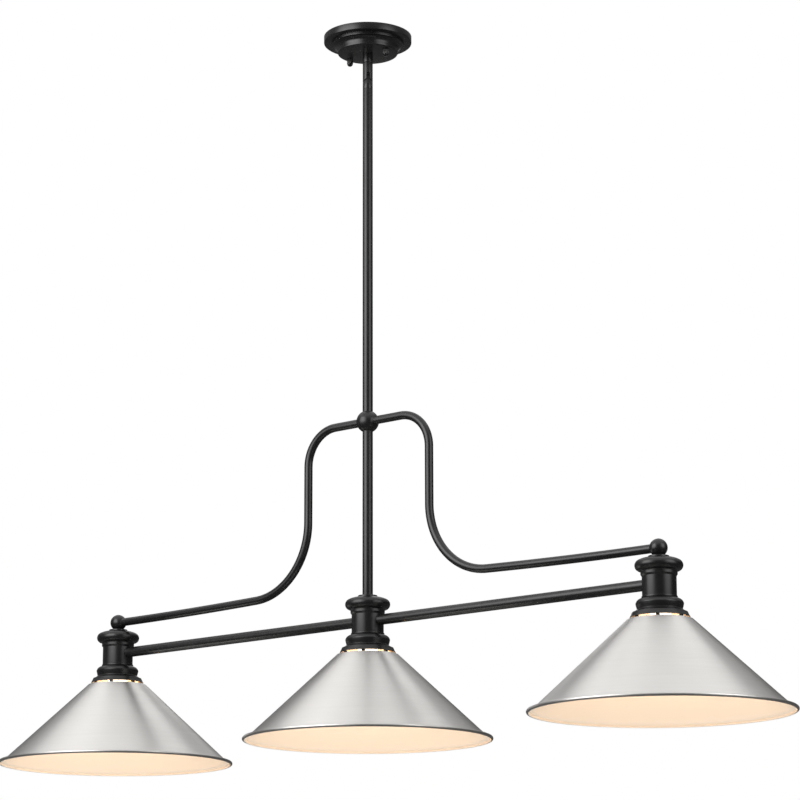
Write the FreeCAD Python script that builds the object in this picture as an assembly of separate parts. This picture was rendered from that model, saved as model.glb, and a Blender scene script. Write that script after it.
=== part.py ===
import FreeCAD, Part
import math
import os

# Linear island pendant: a canopy, a stem with a hang-straight knuckle, two bent arms,
# two level bars and three lamp heads with conical shades.
# Millimetres. The origin is the centre of the ceiling face, +Z is up, X runs along the bars.

# Overall layout
DROP = 1054.0              # ceiling face to shade rims
HEAD_PITCH = 505.0         # one lamp head to the next
HEAD_NAMES = ("left", "centre", "right")

# Allowances shared by the pieces
FIT = 0.05                 # radial clearance of a running or sliding fit
SLIP = 0.1                 # radial clearance of a screw or tube in a plain hole
TURN_GAP = 0.3             # face to face gap where one body turns against another
OVERCUT = 1.0              # how far a cutting shape passes the faces that it cuts
QUARTER = 1 - math.sqrt(0.5)   # a quarter round stands out of its chord by this much of its radius
HEX_CHAMFER = 0.6          # share of a hexagon's corners that the chamfer takes

# Strap across the junction box
BOX_SPACING = 88.9         # junction box screw spacing
BOX_SLOT_W = 5.0
BOX_SLOT_L = 10.0
STRAP_END = 5.5            # strap beyond its slots
STRAP_W = 20.0
STRAP_T = 1.6
STUD_SPACING = 70.0        # canopy stud spacing
STUD_R = 2.05
STUD_TIP = 0.6             # chamfer on a stud's lower end
STUD_NUT_T = 2.6
STUD_NUT_AF = 8.7
GROUND_X = 16.0
GROUND_R = 1.9
GROUND_HEAD_R = 4.2
GROUND_HEAD_T = 2.6
GROUND_HEAD_EDGE = 1.3
GROUND_DRIVE_W = 1.0
GROUND_DRIVE_T = 1.2

# Knurled cap nuts under the canopy
CAP_NUT_R = 4.6
CAP_NUT_BORE_L = 6.5
CAP_NUT_STUD_GAP = 1.0     # free bore past the stud's end
CAP_NUT_WEB = 2.0          # solid between the bore and the dome
CAP_NUT_DOME_H = 3.0
CAP_NUT_TEETH = 22
CAP_NUT_TOOTH_H = 0.35
CAP_NUT_PLAIN_H = 1.0      # plain band at each end of the knurl

# Canopy
CANOPY_T = 1.2
CANOPY_COVER = 9.35        # free room between the strap's end and the canopy's wall
CANOPY_SHOULDER_W = 11.5
CANOPY_SIDE_H = 10.4
CANOPY_STEP_H = 3.8
CANOPY_COVE_R = 8.0
CANOPY_WALL_H = 2.0
CANOPY_CORNER_R = 2.8
CANOPY_EDGE_R = 1.0
CANOPY_FLAT_MARGIN = 2.6   # flat bottom beyond the cap nuts
CANOPY_LEAST_R = 0.2       # smallest inner corner
CANOPY_LEAST_LEDGE = 0.5

# Lamp tube thread and its nuts
THREAD_R = 4.95
TUBE_WALL = 1.75
NUT_AF = 14.0
NUT_T = 4.0
TUBE_WASHER_R = 9.0
TUBE_WASHER_T = 1.2
TUBE_STAND = 3.0           # thread that stands out of the canopy nut

# Stem, knuckle and rods
ROD_R = 7.5
ROD_WALL = 1.3
COLLAR_L = 14.0
BUSH_L = 5.0
BARREL_WALL = 1.5
TUBE_HEAD_T = 2.2
TUBE_HEAD_LEDGE = 0.95     # the stem tube's head beyond its thread
TUBE_HEAD_GAP = 1.0        # free bore below the head
BARREL_WEB = 8.0           # solid web between the head's bore and the slot
BARREL_WIRE_R = 2.2
KNUCKLE_TURN = 45.0        # the pin's direction, turned from the bars
SLOT_W = 5.0
SLOT_RISE = 6.0            # slot root above the pin
EAR_OVER = 0.5             # ear radius beyond the rod's
EAR_GAP = 0.9
TONGUE_GAP = 0.9           # tongue below the slot's root
TONGUE_SIDE_GAP = 0.2
PIN_R = 1.6
PIN_SHORT = 0.2            # pin end below the barrel's skin
SHANK_L = 10.0             # lower knuckle below its hollowed shoulder
SPIGOT_L = 10.0
SPIGOT_BORE_TOP = 2.0      # wire bore above the shoulder of the spigot
WIRE_R = 1.5
WIRE_OUT = 0.6             # wire hole's axis outside the tongue's edge
ROD_PLUG_SPARE = 2.0       # tapped depth past the head tube's end

# Balls and arms
CENTRE_BALL_R = 16.4
CENTRE_BALL_RISE = 463.0   # above the shade rims
BALL_ROD_WEB = 0.9         # between an arm's bore and a rod's end
BALL_ARM_WEB = 1.3         # between a rod's bore and an arm's end
END_BALL_R = 12.3
END_FOOT_W = 0.95          # flat foot of an end ball outside its thread
END_TUBE_STOP = 3.0        # tapped bore ends this far below the ball's centre
END_ARM_WEB = 0.65         # between the tapped bore and the arm's end
ARM_R = 6.1
ARM_WALL = 1.2
ARM_DROP_X = 114.5         # the arm's upright run from the rod
ARM_TOP_BEND_R = 52.0
ARM_LOW_BEND_R = 105.0
ARM_LEAST_RUN = 5.0        # least upright run between the bends
ARM_RUN_TURN = 1.8         # degrees that the long outer run still bends, level at the ball

# Level bars
BAR_R = 7.6
BAR_WALL = 1.5
BAR_STUD_DEPTH = 10.0      # stud inside the bar
BAR_PLUG_SPARE = 2.0
BAR_NUT_T = 3.0

# Lamp, with its socket
LAMP_BASE_R = 13.0
LAMP_BASE_L = 22.0
LAMP_BASE_IN = 3.0         # the base's rim inside the socket's mouth
LAMP_BASE_WAVE = 0.55
LAMP_BASE_TURNS = 4
LAMP_TIP_H = 2.4
LAMP_TIP_R = 3.6
LAMP_TIP_FLAT_R = 1.8
LAMP_TIP_DOME_H = 0.8
LAMP_CONE_R = 5.6
LAMP_CONE_H = 1.4
LAMP_R = 30.0
LAMP_GLASS_T = 1.0
LAMP_NECK_R = 14.0
LAMP_NECK_H = 7.6
LAMP_ARC_DEG = 40.0        # where the globe turns into the neck's sweep
SHELL_CLEAR = 0.35
SHELL_WAVE = 0.35
SHELL_T = 0.5
SHELL_TURNS = 5
SHELL_SHORT = 5.0          # socket wall below the screw shell
CONTACT_R = 5.0
CONTACT_T = 0.6
CONTACT_L = 2.6
CONTACT_FOOT_R = 3.5
CONTACT_TIP_R = 2.0
SOCKET_WALL = 1.9
SOCKET_L = 59.0
SOCKET_TOP_GAP = 2.4       # below the lock nut
SOCKET_CAP_H = 12.0
SOCKET_CAP_R = 14.0
SOCKET_CAP_EDGE = 1.5
SOCKET_SHOULDER_H = 2.5
SOCKET_GRIP = 9.0          # thread engaged in the socket's cap
SOCKET_GRIP_SPARE = 1.0
SOCKET_NUT_GAP = 0.46      # between the socket and the nuts of the bars

# Housing: the upright cup above the holder, listed from its foot to its top
HOUSING_WALL = 1.7
SPIGOT_WALL = 1.1
SPIGOT_DEPTH = 9.0
BAR_RISE = 17.4            # bar axis above the housing's foot
BAR_TO_CONE = 1.7
CONE_H = 2.5
BAND_OUT = 1.6             # band outside the cup's wall
BAND_H = 3.6
FLARE_OUT = 1.2
FLARE_H = 1.2
FLANGE_UNDER_H = 0.8
FLANGE_H = 13.3
FLANGE_ROUND = 3.8
FLANGE_OUT = 9.3           # widest circle outside the cup's wall
CROWN_H = 3.7
CROWN_ROUND = 0.9
HOUSING_TOP_T = 6.0
WASHER_R = 14.0
WASHER_T = 2.6
HEAD_TUBE_GRIP = 8.0       # thread engaged in the rod's foot

# Vent collar that carries the shade, and its ring nut
VENT_R = 35.5
VENT_WALL = 3.5
VENT_BASE_T = 0.8
VENT_WINDOW_H = 3.5
VENT_RING_H = 3.6
VENT_POSTS = 6
VENT_POST_W = 5.0
VENT_SEAT_W = 3.9          # seat on the shade outside the neck
NECK_WALL = 2.0
NECK_L = 4.1
RING_NUT_W = 5.4
RING_NUT_T = 2.6
RING_NUT_NOTCHES = 4
NOTCH_W = 4.0
NOTCH_D = 2.0

# Holder: the ring and bell above the vents, listed from its top to its lip
HOLDER_TOP_OUT = 1.0       # top band outside the cup's wall
HOLDER_TOP_H = 2.0
GROOVE_D = 0.6
GROOVE_H = 0.5
RING_EDGE_H = 0.4
RING_DROP = 9.7            # ring's widest circle below the holder's top
RING_OUT = 9.0
RING_ROUND = 1.6
RING_FOOT_H = 3.0
RING_FOOT_IN = 0.6
WAIST_DROP = 7.5           # waist below the ring's widest circle
WAIST_OUT = 7.2
BELL_DROP = 4.0            # bell's shoulder below the waist
BELL_COVE = 0.45
BELL_SHOULDER = 1.0
BELL_TO_SEAT = 1.8         # bell's shoulder above the collar's seat
BELL_FOOT = 0.6            # bell's edge below the collar's seat
BELL_OUT = 2.3             # bell outside the collar
LIP_OUT = 4.4              # lip outside the collar
LIP_HANG = 1.4             # lip below the top of the vent windows
LIP_T = 1.0
LIP_EDGE = 0.4
LIP_FOOT_W = 0.8
RECESS_RISE = 0.3
RECESS_EDGE = 0.5
HOLDER_LEDGE_T = 2.0
HOLDER_BORE_OUT = 4.7

# Shade
SHADE_R = 178.0
SHADE_H = 122.3
SHADE_T = 1.0
SHADE_TOP_W = 8.3          # flat top outside the collar
SHADE_SHOULDER_R = 1.4
SHADE_LIP_IN = 9.0         # where the cone gives way to the lip, in from the rim
SHADE_LIP_RISE = 5.6
BEAD_R = 2.3

# Radii worked out from the sizes above
BORE_R = THREAD_R - TUBE_WALL
BARREL_BORE_R = ROD_R - BARREL_WALL
STEM_HEAD_R = BARREL_BORE_R - 2 * FIT
STEM_THREAD_R = STEM_HEAD_R - TUBE_HEAD_LEDGE
STEM_BORE_R = STEM_THREAD_R - TUBE_WALL
EAR_R = ROD_R + EAR_OVER
SHOULDER_R = EAR_R + EAR_GAP
TONGUE_R = SLOT_RISE - TONGUE_GAP
SHELL_R = LAMP_BASE_R + SHELL_CLEAR + SHELL_WAVE + SHELL_T
SOCKET_CAVITY_R = SHELL_R + SLIP
SOCKET_R = SOCKET_CAVITY_R + SOCKET_WALL
BAR_NUT_SEAT = SOCKET_R + SOCKET_NUT_GAP + BAR_NUT_T
HOUSING_BORE_R = math.hypot(BAR_NUT_SEAT + FIT, NUT_AF / math.sqrt(3))
HOUSING_R = HOUSING_BORE_R + HOUSING_WALL
SPIGOT_R = HOUSING_BORE_R + SPIGOT_WALL
BAND_R = HOUSING_R + BAND_OUT
FLANGE_R = HOUSING_R + FLANGE_OUT
NECK_R = VENT_R - VENT_SEAT_W
RING_NUT_R = NECK_R + RING_NUT_W
SHADE_TOP_R = VENT_R + SHADE_TOP_W
STRAP_L = BOX_SPACING + BOX_SLOT_L + 2 * STRAP_END
CANOPY_R = STRAP_L / 2 + CANOPY_COVER + CANOPY_T
CANOPY_STEP_R = CANOPY_R - CANOPY_SHOULDER_W
CANOPY_FLAT_R = STUD_SPACING / 2 + CAP_NUT_R + CANOPY_FLAT_MARGIN
CENTRE_CAVITY_H = ARM_R + BALL_ROD_WEB
CENTRE_ARM_STOP = ROD_R + BALL_ARM_WEB
END_ARM_STOP = THREAD_R + END_ARM_WEB
END_FOOT_R = THREAD_R + END_FOOT_W

# Heights at the ceiling
CANOPY_H = CANOPY_SIDE_H + CANOPY_STEP_H + CANOPY_COVE_R + CANOPY_WALL_H + CANOPY_CORNER_R
CANOPY_FLOOR_Z = -CANOPY_H + CANOPY_T
CANOPY_NUT_Z = CANOPY_FLOOR_Z + TUBE_WASHER_T
COLLAR_END_Z = -CANOPY_H - COLLAR_L
BARREL_TOP_Z = COLLAR_END_Z - TURN_GAP
BUSH_END_Z = BARREL_TOP_Z - BUSH_L
STEM_HEAD_Z = BUSH_END_Z - FIT
BARREL_BORE_Z = STEM_HEAD_Z - TUBE_HEAD_T - TUBE_HEAD_GAP
SLOT_ROOT_Z = BARREL_BORE_Z - BARREL_WEB
PIN_Z = SLOT_ROOT_Z - SLOT_RISE
SHANK_END_Z = PIN_Z - SHOULDER_R - SHANK_L

# Heights at the lamp heads, from the rims up
RIM_Z = -DROP
SHADE_TOP_Z = RIM_Z + SHADE_H
WINDOW_Z = SHADE_TOP_Z + VENT_BASE_T
VENT_RING_Z = WINDOW_Z + VENT_WINDOW_H
SEAT_Z = VENT_RING_Z + VENT_RING_H
HOLDER_TOP_Z = SEAT_Z + BELL_TO_SEAT + BELL_DROP + WAIST_DROP + RING_DROP
BAR_Z = HOLDER_TOP_Z + BAR_RISE
CONE_Z = BAR_Z + BAR_R + BAR_TO_CONE
BAND_Z = CONE_Z + CONE_H
FLARE_Z = BAND_Z + BAND_H
FLANGE_Z = FLARE_Z + FLARE_H + FLANGE_UNDER_H
CROWN_Z = FLANGE_Z + FLANGE_H
HOUSING_TOP_Z = CROWN_Z + CROWN_H
WASHER_TOP_Z = HOUSING_TOP_Z + WASHER_T
END_BALL_Z = WASHER_TOP_Z + math.sqrt(END_BALL_R ** 2 - END_FOOT_R ** 2)
CENTRE_BALL_Z = RIM_Z + CENTRE_BALL_RISE
LOCK_NUT_Z = HOUSING_TOP_Z - HOUSING_TOP_T - NUT_T
SOCKET_TOP_Z = LOCK_NUT_Z - SOCKET_TOP_GAP
SOCKET_END_Z = SOCKET_TOP_Z - SOCKET_L
LAMP_RIM_Z = SOCKET_END_Z + LAMP_BASE_IN
LAMP_CONE_Z = LAMP_RIM_Z + LAMP_BASE_L
LAMP_TIP_Z = LAMP_CONE_Z + LAMP_TIP_H
SOCKET_FLOOR_Z = LAMP_TIP_Z + CONTACT_L
HEAD_XS = (-HEAD_PITCH, 0.0, HEAD_PITCH)


def vec(x, y, z):
    return FreeCAD.Vector(x, y, z)


def outline(*points):
    """A closed wire of (radius, height) points in the XZ plane.

    A third value makes an arc that ends at that point and stands out of its chord by that
    much, to the left of the way along; in an outline that starts at its top, that is outward.
    """
    edges = []
    for here, there in zip(points, points[1:] + points[:1]):
        a = vec(here[0], 0, here[1])
        b = vec(there[0], 0, there[1])
        if len(there) == 3:
            chord = b - a
            left = vec(-chord.z, 0, chord.x).normalize()
            edges.append(Part.Arc(a, (a + b) * 0.5 + left * there[2], b).toShape())
        else:
            edges.append(Part.makeLine(a, b))
    return Part.Wire(edges)


def turned(*points):
    """A solid of revolution about Z from a closed outline."""
    return Part.Face(outline(*points)).revolve(vec(0, 0, 0), vec(0, 0, 1), 360)


def cylinder(radius, z0, z1, x=0.0, y=0.0):
    return Part.makeCylinder(radius, z1 - z0, vec(x, y, z0))


def tube(outer, inner, z0, z1):
    return cylinder(outer, z0, z1).cut(cylinder(inner, z0 - OVERCUT, z1 + OVERCUT))


def rod_along(way, radius, start, length):
    return Part.makeCylinder(radius, length, start, way)


def hexagon(across_flats, z0, z1):
    corner = across_flats / math.sqrt(3)
    points = []
    for i in range(7):
        angle = math.radians(60 * i)
        points.append(vec(corner * math.cos(angle), corner * math.sin(angle), z0))
    return Part.Face(Part.makePolygon(points)).extrude(vec(0, 0, z1 - z0))


def hex_nut(across_flats, bore, z0, z1):
    """A hexagon nut with its corners chamfered on both faces."""
    corner = across_flats / math.sqrt(3)
    chamfer = (corner - across_flats / 2) * HEX_CHAMFER
    blank = turned((0, z1), (corner - chamfer, z1), (corner, z1 - chamfer),
                   (corner, z0 + chamfer), (corner - chamfer, z0), (0, z0))
    hole = cylinder(bore, z0 - OVERCUT, z1 + OVERCUT)
    return hexagon(across_flats, z0, z1).common(blank).cut(hole)


def slot_shape(length, width, z0, z1, x):
    """A round-ended bar along X, centred at x."""
    half = (length - width) / 2
    body = Part.makeBox(2 * half, width, z1 - z0, vec(x - half, -width / 2, z0))
    ends = [cylinder(width / 2, z0, z1, x - half), cylinder(width / 2, z0, z1, x + half)]
    return body.multiFuse(ends).removeSplitter()


def moved(shape, x, y=0.0, z=0.0):
    placed = shape.copy()
    placed.translate(vec(x, y, z))
    return placed


def turned_copy(shape, degrees):
    """The shape turned about the Z axis."""
    placed = shape.copy()
    placed.rotate(vec(0, 0, 0), vec(0, 0, 1), degrees)
    return placed


def at_studs(shape):
    """The shape at both canopy studs."""
    return Part.makeCompound([moved(shape, side * STUD_SPACING / 2) for side in (-1, 1)])


def at_heads(shape):
    """The shape at the three lamp heads."""
    return Part.makeCompound([moved(shape, x) for x in HEAD_XS])


# Ceiling side

def make_crossbar():
    """Strap across the junction box, with rounded ends."""
    low = -STRAP_T - OVERCUT
    strap = slot_shape(STRAP_L, STRAP_W, -STRAP_T, 0, 0)
    for side in (-1, 1):
        strap = strap.cut(slot_shape(BOX_SLOT_L, BOX_SLOT_W, low, OVERCUT, side * BOX_SPACING / 2))
        strap = strap.cut(cylinder(STUD_R + FIT, low, OVERCUT, side * STUD_SPACING / 2))
    strap = strap.cut(cylinder(STEM_THREAD_R + SLIP, low, OVERCUT))
    return strap.cut(cylinder(GROUND_R + FIT, low, OVERCUT, GROUND_X))


def make_ground_screw():
    """Slotted pan head under the strap; its shank ends flush with the strap's top."""
    under = -STRAP_T
    foot = under - GROUND_HEAD_T
    head = turned((0, under), (GROUND_HEAD_R, under), (GROUND_HEAD_R, foot + GROUND_HEAD_EDGE),
                  (GROUND_HEAD_R - GROUND_HEAD_EDGE, foot, QUARTER * GROUND_HEAD_EDGE), (0, foot))
    drive = Part.makeBox(2 * GROUND_HEAD_R, GROUND_DRIVE_W, GROUND_DRIVE_T,
                         vec(-GROUND_HEAD_R, -GROUND_DRIVE_W / 2, foot))
    shank = cylinder(GROUND_R, under, 0)
    return moved(head.cut(drive).fuse(shank).removeSplitter(), GROUND_X)


def make_canopy_studs():
    """Headless studs screwed into the strap, flush with its top."""
    end = -CANOPY_H - CAP_NUT_BORE_L + CAP_NUT_STUD_GAP
    return at_studs(turned((0, 0), (STUD_R, 0), (STUD_R, end + STUD_TIP),
                           (STUD_R - STUD_TIP, end), (0, end)))


def make_stud_nuts():
    """Thin nuts that lock the studs under the strap."""
    return at_studs(hex_nut(STUD_NUT_AF, STUD_R + FIT, -STRAP_T - STUD_NUT_T, -STRAP_T))


def canopy_form(inset, top):
    """The canopy's outer form, or its hollow when drawn in by the sheet's thickness."""
    side_z = -CANOPY_SIDE_H + inset
    step_z = side_z - CANOPY_STEP_H
    flat_z = -CANOPY_H + inset
    rim_r = CANOPY_R - inset
    step_r = CANOPY_STEP_R - inset
    wall_r = CANOPY_FLAT_R + CANOPY_CORNER_R - inset
    edge = max(CANOPY_EDGE_R - inset, CANOPY_LEAST_R)
    corner = max(CANOPY_CORNER_R - inset, CANOPY_LEAST_R)
    cove = min(CANOPY_COVE_R + inset, step_r - wall_r - CANOPY_LEAST_LEDGE)
    return turned((0, top), (rim_r, top), (rim_r, side_z + edge),
                  (rim_r - edge, side_z, QUARTER * edge), (step_r, side_z), (step_r, step_z),
                  (wall_r + cove, step_z), (wall_r, step_z - cove, -QUARTER * cove),
                  (wall_r, flat_z + corner), (wall_r - corner, flat_z, QUARTER * corner),
                  (0, flat_z))


def make_canopy():
    """Spun cover with a stepped side and a flat bottom."""
    low = -CANOPY_H - OVERCUT
    shell = canopy_form(0, 0).cut(canopy_form(CANOPY_T, OVERCUT))
    shell = shell.cut(cylinder(STEM_THREAD_R + SLIP, low, 0))
    for side in (-1, 1):
        shell = shell.cut(cylinder(STUD_R + SLIP, low, 0, side * STUD_SPACING / 2))
    return shell


def make_cap_nuts():
    """Blind nuts with a straight knurl and a domed tip."""
    top = -CANOPY_H
    body_r = CAP_NUT_R - CAP_NUT_TOOTH_H
    dome_z = top - CAP_NUT_BORE_L - CAP_NUT_WEB
    dome_r = (body_r ** 2 + CAP_NUT_DOME_H ** 2) / (2 * CAP_NUT_DOME_H)
    half_turn = math.asin(min(body_r / dome_r, 1)) / 2
    blank = turned((0, top), (body_r, top), (body_r, dome_z),
                   (0, dome_z - CAP_NUT_DOME_H, dome_r * (1 - math.cos(half_turn))))
    points = []
    for i in range(2 * CAP_NUT_TEETH + 1):
        angle = math.pi * i / CAP_NUT_TEETH
        radius = body_r if i % 2 else CAP_NUT_R
        points.append(vec(radius * math.cos(angle), radius * math.sin(angle), top - CAP_NUT_PLAIN_H))
    knurl_l = top - dome_z - 2 * CAP_NUT_PLAIN_H
    knurl = Part.Face(Part.makePolygon(points)).extrude(vec(0, 0, -knurl_l))
    return at_studs(blank.fuse(knurl).cut(cylinder(STUD_R + FIT, top - CAP_NUT_BORE_L, top)))


def make_canopy_washer():
    return tube(TUBE_WASHER_R, STEM_THREAD_R + SLIP, CANOPY_FLOOR_Z, CANOPY_NUT_Z)


def make_canopy_nut():
    return hex_nut(NUT_AF, STEM_THREAD_R + FIT, CANOPY_NUT_Z, CANOPY_NUT_Z + NUT_T)


def make_stem_collar():
    """Threaded coupling that clamps the canopy from below."""
    return tube(ROD_R, STEM_THREAD_R + FIT, COLLAR_END_Z, -CANOPY_H)


def make_canopy_tube():
    """Headed lamp tube: its head carries the knuckle, its nut hangs on the canopy."""
    top = CANOPY_NUT_Z + NUT_T + TUBE_STAND
    low = STEM_HEAD_Z - TUBE_HEAD_T
    return turned((STEM_BORE_R, top), (STEM_THREAD_R, top), (STEM_THREAD_R, STEM_HEAD_Z),
                  (STEM_HEAD_R, STEM_HEAD_Z), (STEM_HEAD_R, low), (STEM_BORE_R, low))


# Hang-straight knuckle; built with its pin along X, then turned

def pin_cylinder(radius, half_length):
    return rod_along(vec(1, 0, 0), radius, vec(-half_length, 0, PIN_Z), 2 * half_length)


def make_swivel_barrel():
    """Upper half of the knuckle: a bush bore above, a fork with rounded ears below."""
    reach = 2 * ROD_R
    ears = pin_cylinder(EAR_R, reach)
    above = Part.makeBox(2 * reach, 2 * reach, BARREL_TOP_Z - PIN_Z, vec(-reach, -reach, PIN_Z))
    body = cylinder(ROD_R, PIN_Z - EAR_R, BARREL_TOP_Z).common(ears.fuse(above))
    slot_foot = PIN_Z - EAR_R - OVERCUT
    body = body.cut(Part.makeBox(SLOT_W, 2 * reach, SLOT_ROOT_Z - slot_foot,
                                 vec(-SLOT_W / 2, -reach, slot_foot)))
    body = body.cut(cylinder(BARREL_BORE_R, BARREL_BORE_Z, BARREL_TOP_Z + OVERCUT))
    body = body.cut(cylinder(BARREL_WIRE_R, SLOT_ROOT_Z - OVERCUT, BARREL_BORE_Z + OVERCUT))
    body = body.cut(pin_cylinder(PIN_R + FIT / 2, reach))
    return turned_copy(body.removeSplitter(), KNUCKLE_TURN)


def make_swivel_bush():
    """Threaded bush that closes the barrel above the tube's head."""
    return tube(BARREL_BORE_R, STEM_THREAD_R + FIT, BUSH_END_Z, BARREL_TOP_Z)


def make_swivel_pin():
    half = math.sqrt(ROD_R ** 2 - PIN_R ** 2) - PIN_SHORT
    return turned_copy(pin_cylinder(PIN_R, half), KNUCKLE_TURN)


def make_swivel_tongue():
    """Lower half of the knuckle: a round tongue on a hollowed shoulder, and a spigot."""
    reach = 2 * ROD_R
    tongue_t = SLOT_W - 2 * TONGUE_SIDE_GAP
    shank_top = PIN_Z - math.sqrt(SHOULDER_R ** 2 - ROD_R ** 2)
    root_z = PIN_Z - SHOULDER_R - OVERCUT
    spigot_z = SHANK_END_Z - SPIGOT_L
    bore_top = SHANK_END_Z + SPIGOT_BORE_TOP
    body = cylinder(ROD_R, SHANK_END_Z, shank_top).cut(pin_cylinder(SHOULDER_R, reach))
    body = body.fuse(cylinder(ROD_R - ROD_WALL - FIT, spigot_z, SHANK_END_Z))
    stalk = Part.makeBox(tongue_t, 2 * TONGUE_R, PIN_Z - root_z, vec(-tongue_t / 2, -TONGUE_R, root_z))
    body = body.fuse(stalk).fuse(pin_cylinder(TONGUE_R, tongue_t / 2))
    body = body.cut(cylinder(BORE_R, spigot_z - OVERCUT, bore_top))
    body = body.cut(cylinder(WIRE_R, bore_top - OVERCUT, PIN_Z, 0, TONGUE_R + WIRE_OUT))
    body = body.cut(pin_cylinder(PIN_R + FIT, reach))
    return turned_copy(body.removeSplitter(), KNUCKLE_TURN)


# Rods, balls, arms and bars

def make_upper_rod():
    return tube(ROD_R, ROD_R - ROD_WALL, CENTRE_BALL_Z + CENTRE_CAVITY_H, SHANK_END_Z)


def make_lower_rod():
    """Tube with a tapped plug at its foot."""
    top = CENTRE_BALL_Z - CENTRE_CAVITY_H
    plug = WASHER_TOP_Z + HEAD_TUBE_GRIP + ROD_PLUG_SPARE
    body = cylinder(ROD_R, WASHER_TOP_Z, top)
    body = body.cut(cylinder(ROD_R - ROD_WALL, plug, top + OVERCUT))
    return body.cut(cylinder(THREAD_R + FIT, WASHER_TOP_Z - OVERCUT, plug + OVERCUT))


def make_centre_ball():
    """Ball with sockets for two rods and two arms, joined by a wire space."""
    centre = vec(0, 0, CENTRE_BALL_Z)
    top = CENTRE_BALL_Z + CENTRE_CAVITY_H
    low = CENTRE_BALL_Z - CENTRE_CAVITY_H
    ball = Part.makeSphere(CENTRE_BALL_R, centre)
    ball = ball.cut(cylinder(ROD_R + FIT, top, top + CENTRE_BALL_R))
    ball = ball.cut(cylinder(ROD_R + FIT, low - CENTRE_BALL_R, low))
    ball = ball.cut(cylinder(ROD_R - ROD_WALL, low - OVERCUT, top + OVERCUT))
    for side in (-1, 1):
        way = vec(side, 0, 0)
        stop = vec(side * CENTRE_ARM_STOP, 0, CENTRE_BALL_Z)
        ball = ball.cut(rod_along(way, ARM_R + FIT, stop, CENTRE_BALL_R))
        ball = ball.cut(rod_along(way, ARM_R - ARM_WALL, centre, CENTRE_ARM_STOP + OVERCUT))
    return ball


def make_end_ball(side):
    """Ball with a flat foot, tapped from below and bored for the arm."""
    x = side * HEAD_PITCH
    centre = vec(x, 0, END_BALL_Z)
    inward = vec(-side, 0, 0)
    stop = vec(x - side * END_ARM_STOP, 0, END_BALL_Z)
    tap_top = END_BALL_Z - END_TUBE_STOP
    ball = Part.makeSphere(END_BALL_R, centre)
    ball = ball.cut(cylinder(END_BALL_R, WASHER_TOP_Z - END_BALL_R, WASHER_TOP_Z, x))
    ball = ball.cut(cylinder(THREAD_R + FIT, WASHER_TOP_Z - OVERCUT, tap_top, x))
    ball = ball.cut(rod_along(inward, ARM_R + FIT, stop, END_BALL_R))
    ball = ball.cut(rod_along(inward, BORE_R, centre, END_ARM_STOP + OVERCUT))
    return ball.cut(cylinder(BORE_R, tap_top - OVERCUT, END_BALL_Z, x))


def arm_path(side):
    """Level, a quarter turn down, an upright run, and a bend out into a long bowed run."""
    top_z = CENTRE_BALL_Z
    low_z = END_BALL_Z
    x_drop = side * ARM_DROP_X
    x_end = side * (HEAD_PITCH - END_ARM_STOP)
    turn = math.radians(ARM_RUN_TURN)
    outward = HEAD_PITCH - END_ARM_STOP - ARM_DROP_X
    r1 = ARM_TOP_BEND_R
    r2 = min(ARM_LOW_BEND_R,
             top_z - low_z - r1 - ARM_LEAST_RUN - outward * math.tan(turn / 2))
    run = outward - r2 * (1 - math.sin(turn))
    run_r = run / math.sin(turn)
    start = vec(side * CENTRE_ARM_STOP, 0, top_z)
    bend_a = vec(x_drop - side * r1, 0, top_z)
    bend_a_mid = vec(x_drop - side * r1 * QUARTER, 0, top_z - r1 * QUARTER)
    bend_a_end = vec(x_drop, 0, top_z - r1)
    bend_z = low_z + run * math.tan(turn / 2) + r2 * math.cos(turn)
    half_bend = (math.pi / 2 - turn) / 2
    bend_b = vec(x_drop, 0, bend_z)
    bend_b_mid = vec(x_drop + side * r2 * (1 - math.cos(half_bend)), 0,
                     bend_z - r2 * math.sin(half_bend))
    bend_b_end = vec(x_end - side * run, 0, bend_z - r2 * math.cos(turn))
    run_mid = vec(x_end - side * run_r * math.sin(turn / 2), 0,
                  low_z + run_r * (1 - math.cos(turn / 2)))
    return Part.Wire([
        Part.makeLine(start, bend_a),
        Part.Arc(bend_a, bend_a_mid, bend_a_end).toShape(),
        Part.makeLine(bend_a_end, bend_b),
        Part.Arc(bend_b, bend_b_mid, bend_b_end).toShape(),
        Part.Arc(bend_b_end, run_mid, vec(x_end, 0, low_z)).toShape()])


def make_arm(side):
    """Bent tube from the centre ball to an end ball."""
    path = arm_path(side)
    start = vec(side * CENTRE_ARM_STOP, 0, CENTRE_BALL_Z)
    pipes = []
    for radius in (ARM_R, ARM_R - ARM_WALL):
        ring = Part.Wire(Part.makeCircle(radius, start, vec(1, 0, 0)))
        pipes.append(path.makePipeShell([ring], True, False))
    return pipes[0].cut(pipes[1])


def make_bar(side):
    """Tube with tapped end plugs, its ends hollowed to sit on the round housings."""
    near = math.sqrt(HOUSING_R ** 2 - BAR_R ** 2) - OVERCUT
    length = HEAD_PITCH - 2 * near
    start = vec(side * near, 0, BAR_Z)
    way = vec(side, 0, 0)
    hollow = HOUSING_R + BAR_STUD_DEPTH + BAR_PLUG_SPARE
    bar = rod_along(way, BAR_R, start, length)
    bar = bar.cut(rod_along(way, BAR_R - BAR_WALL, vec(side * hollow, 0, BAR_Z),
                            HEAD_PITCH - 2 * hollow))
    bar = bar.cut(rod_along(way, THREAD_R + FIT, start, length))
    for x in (0.0, side * HEAD_PITCH):
        bar = bar.cut(cylinder(HOUSING_R + FIT, BAR_Z - 2 * BAR_R, BAR_Z + 2 * BAR_R, x))
    return bar


def bar_ends():
    """Each bar end as the head's x and the direction from that head into the bar."""
    return ((-HEAD_PITCH, 1), (0.0, -1), (0.0, 1), (HEAD_PITCH, -1))


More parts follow.
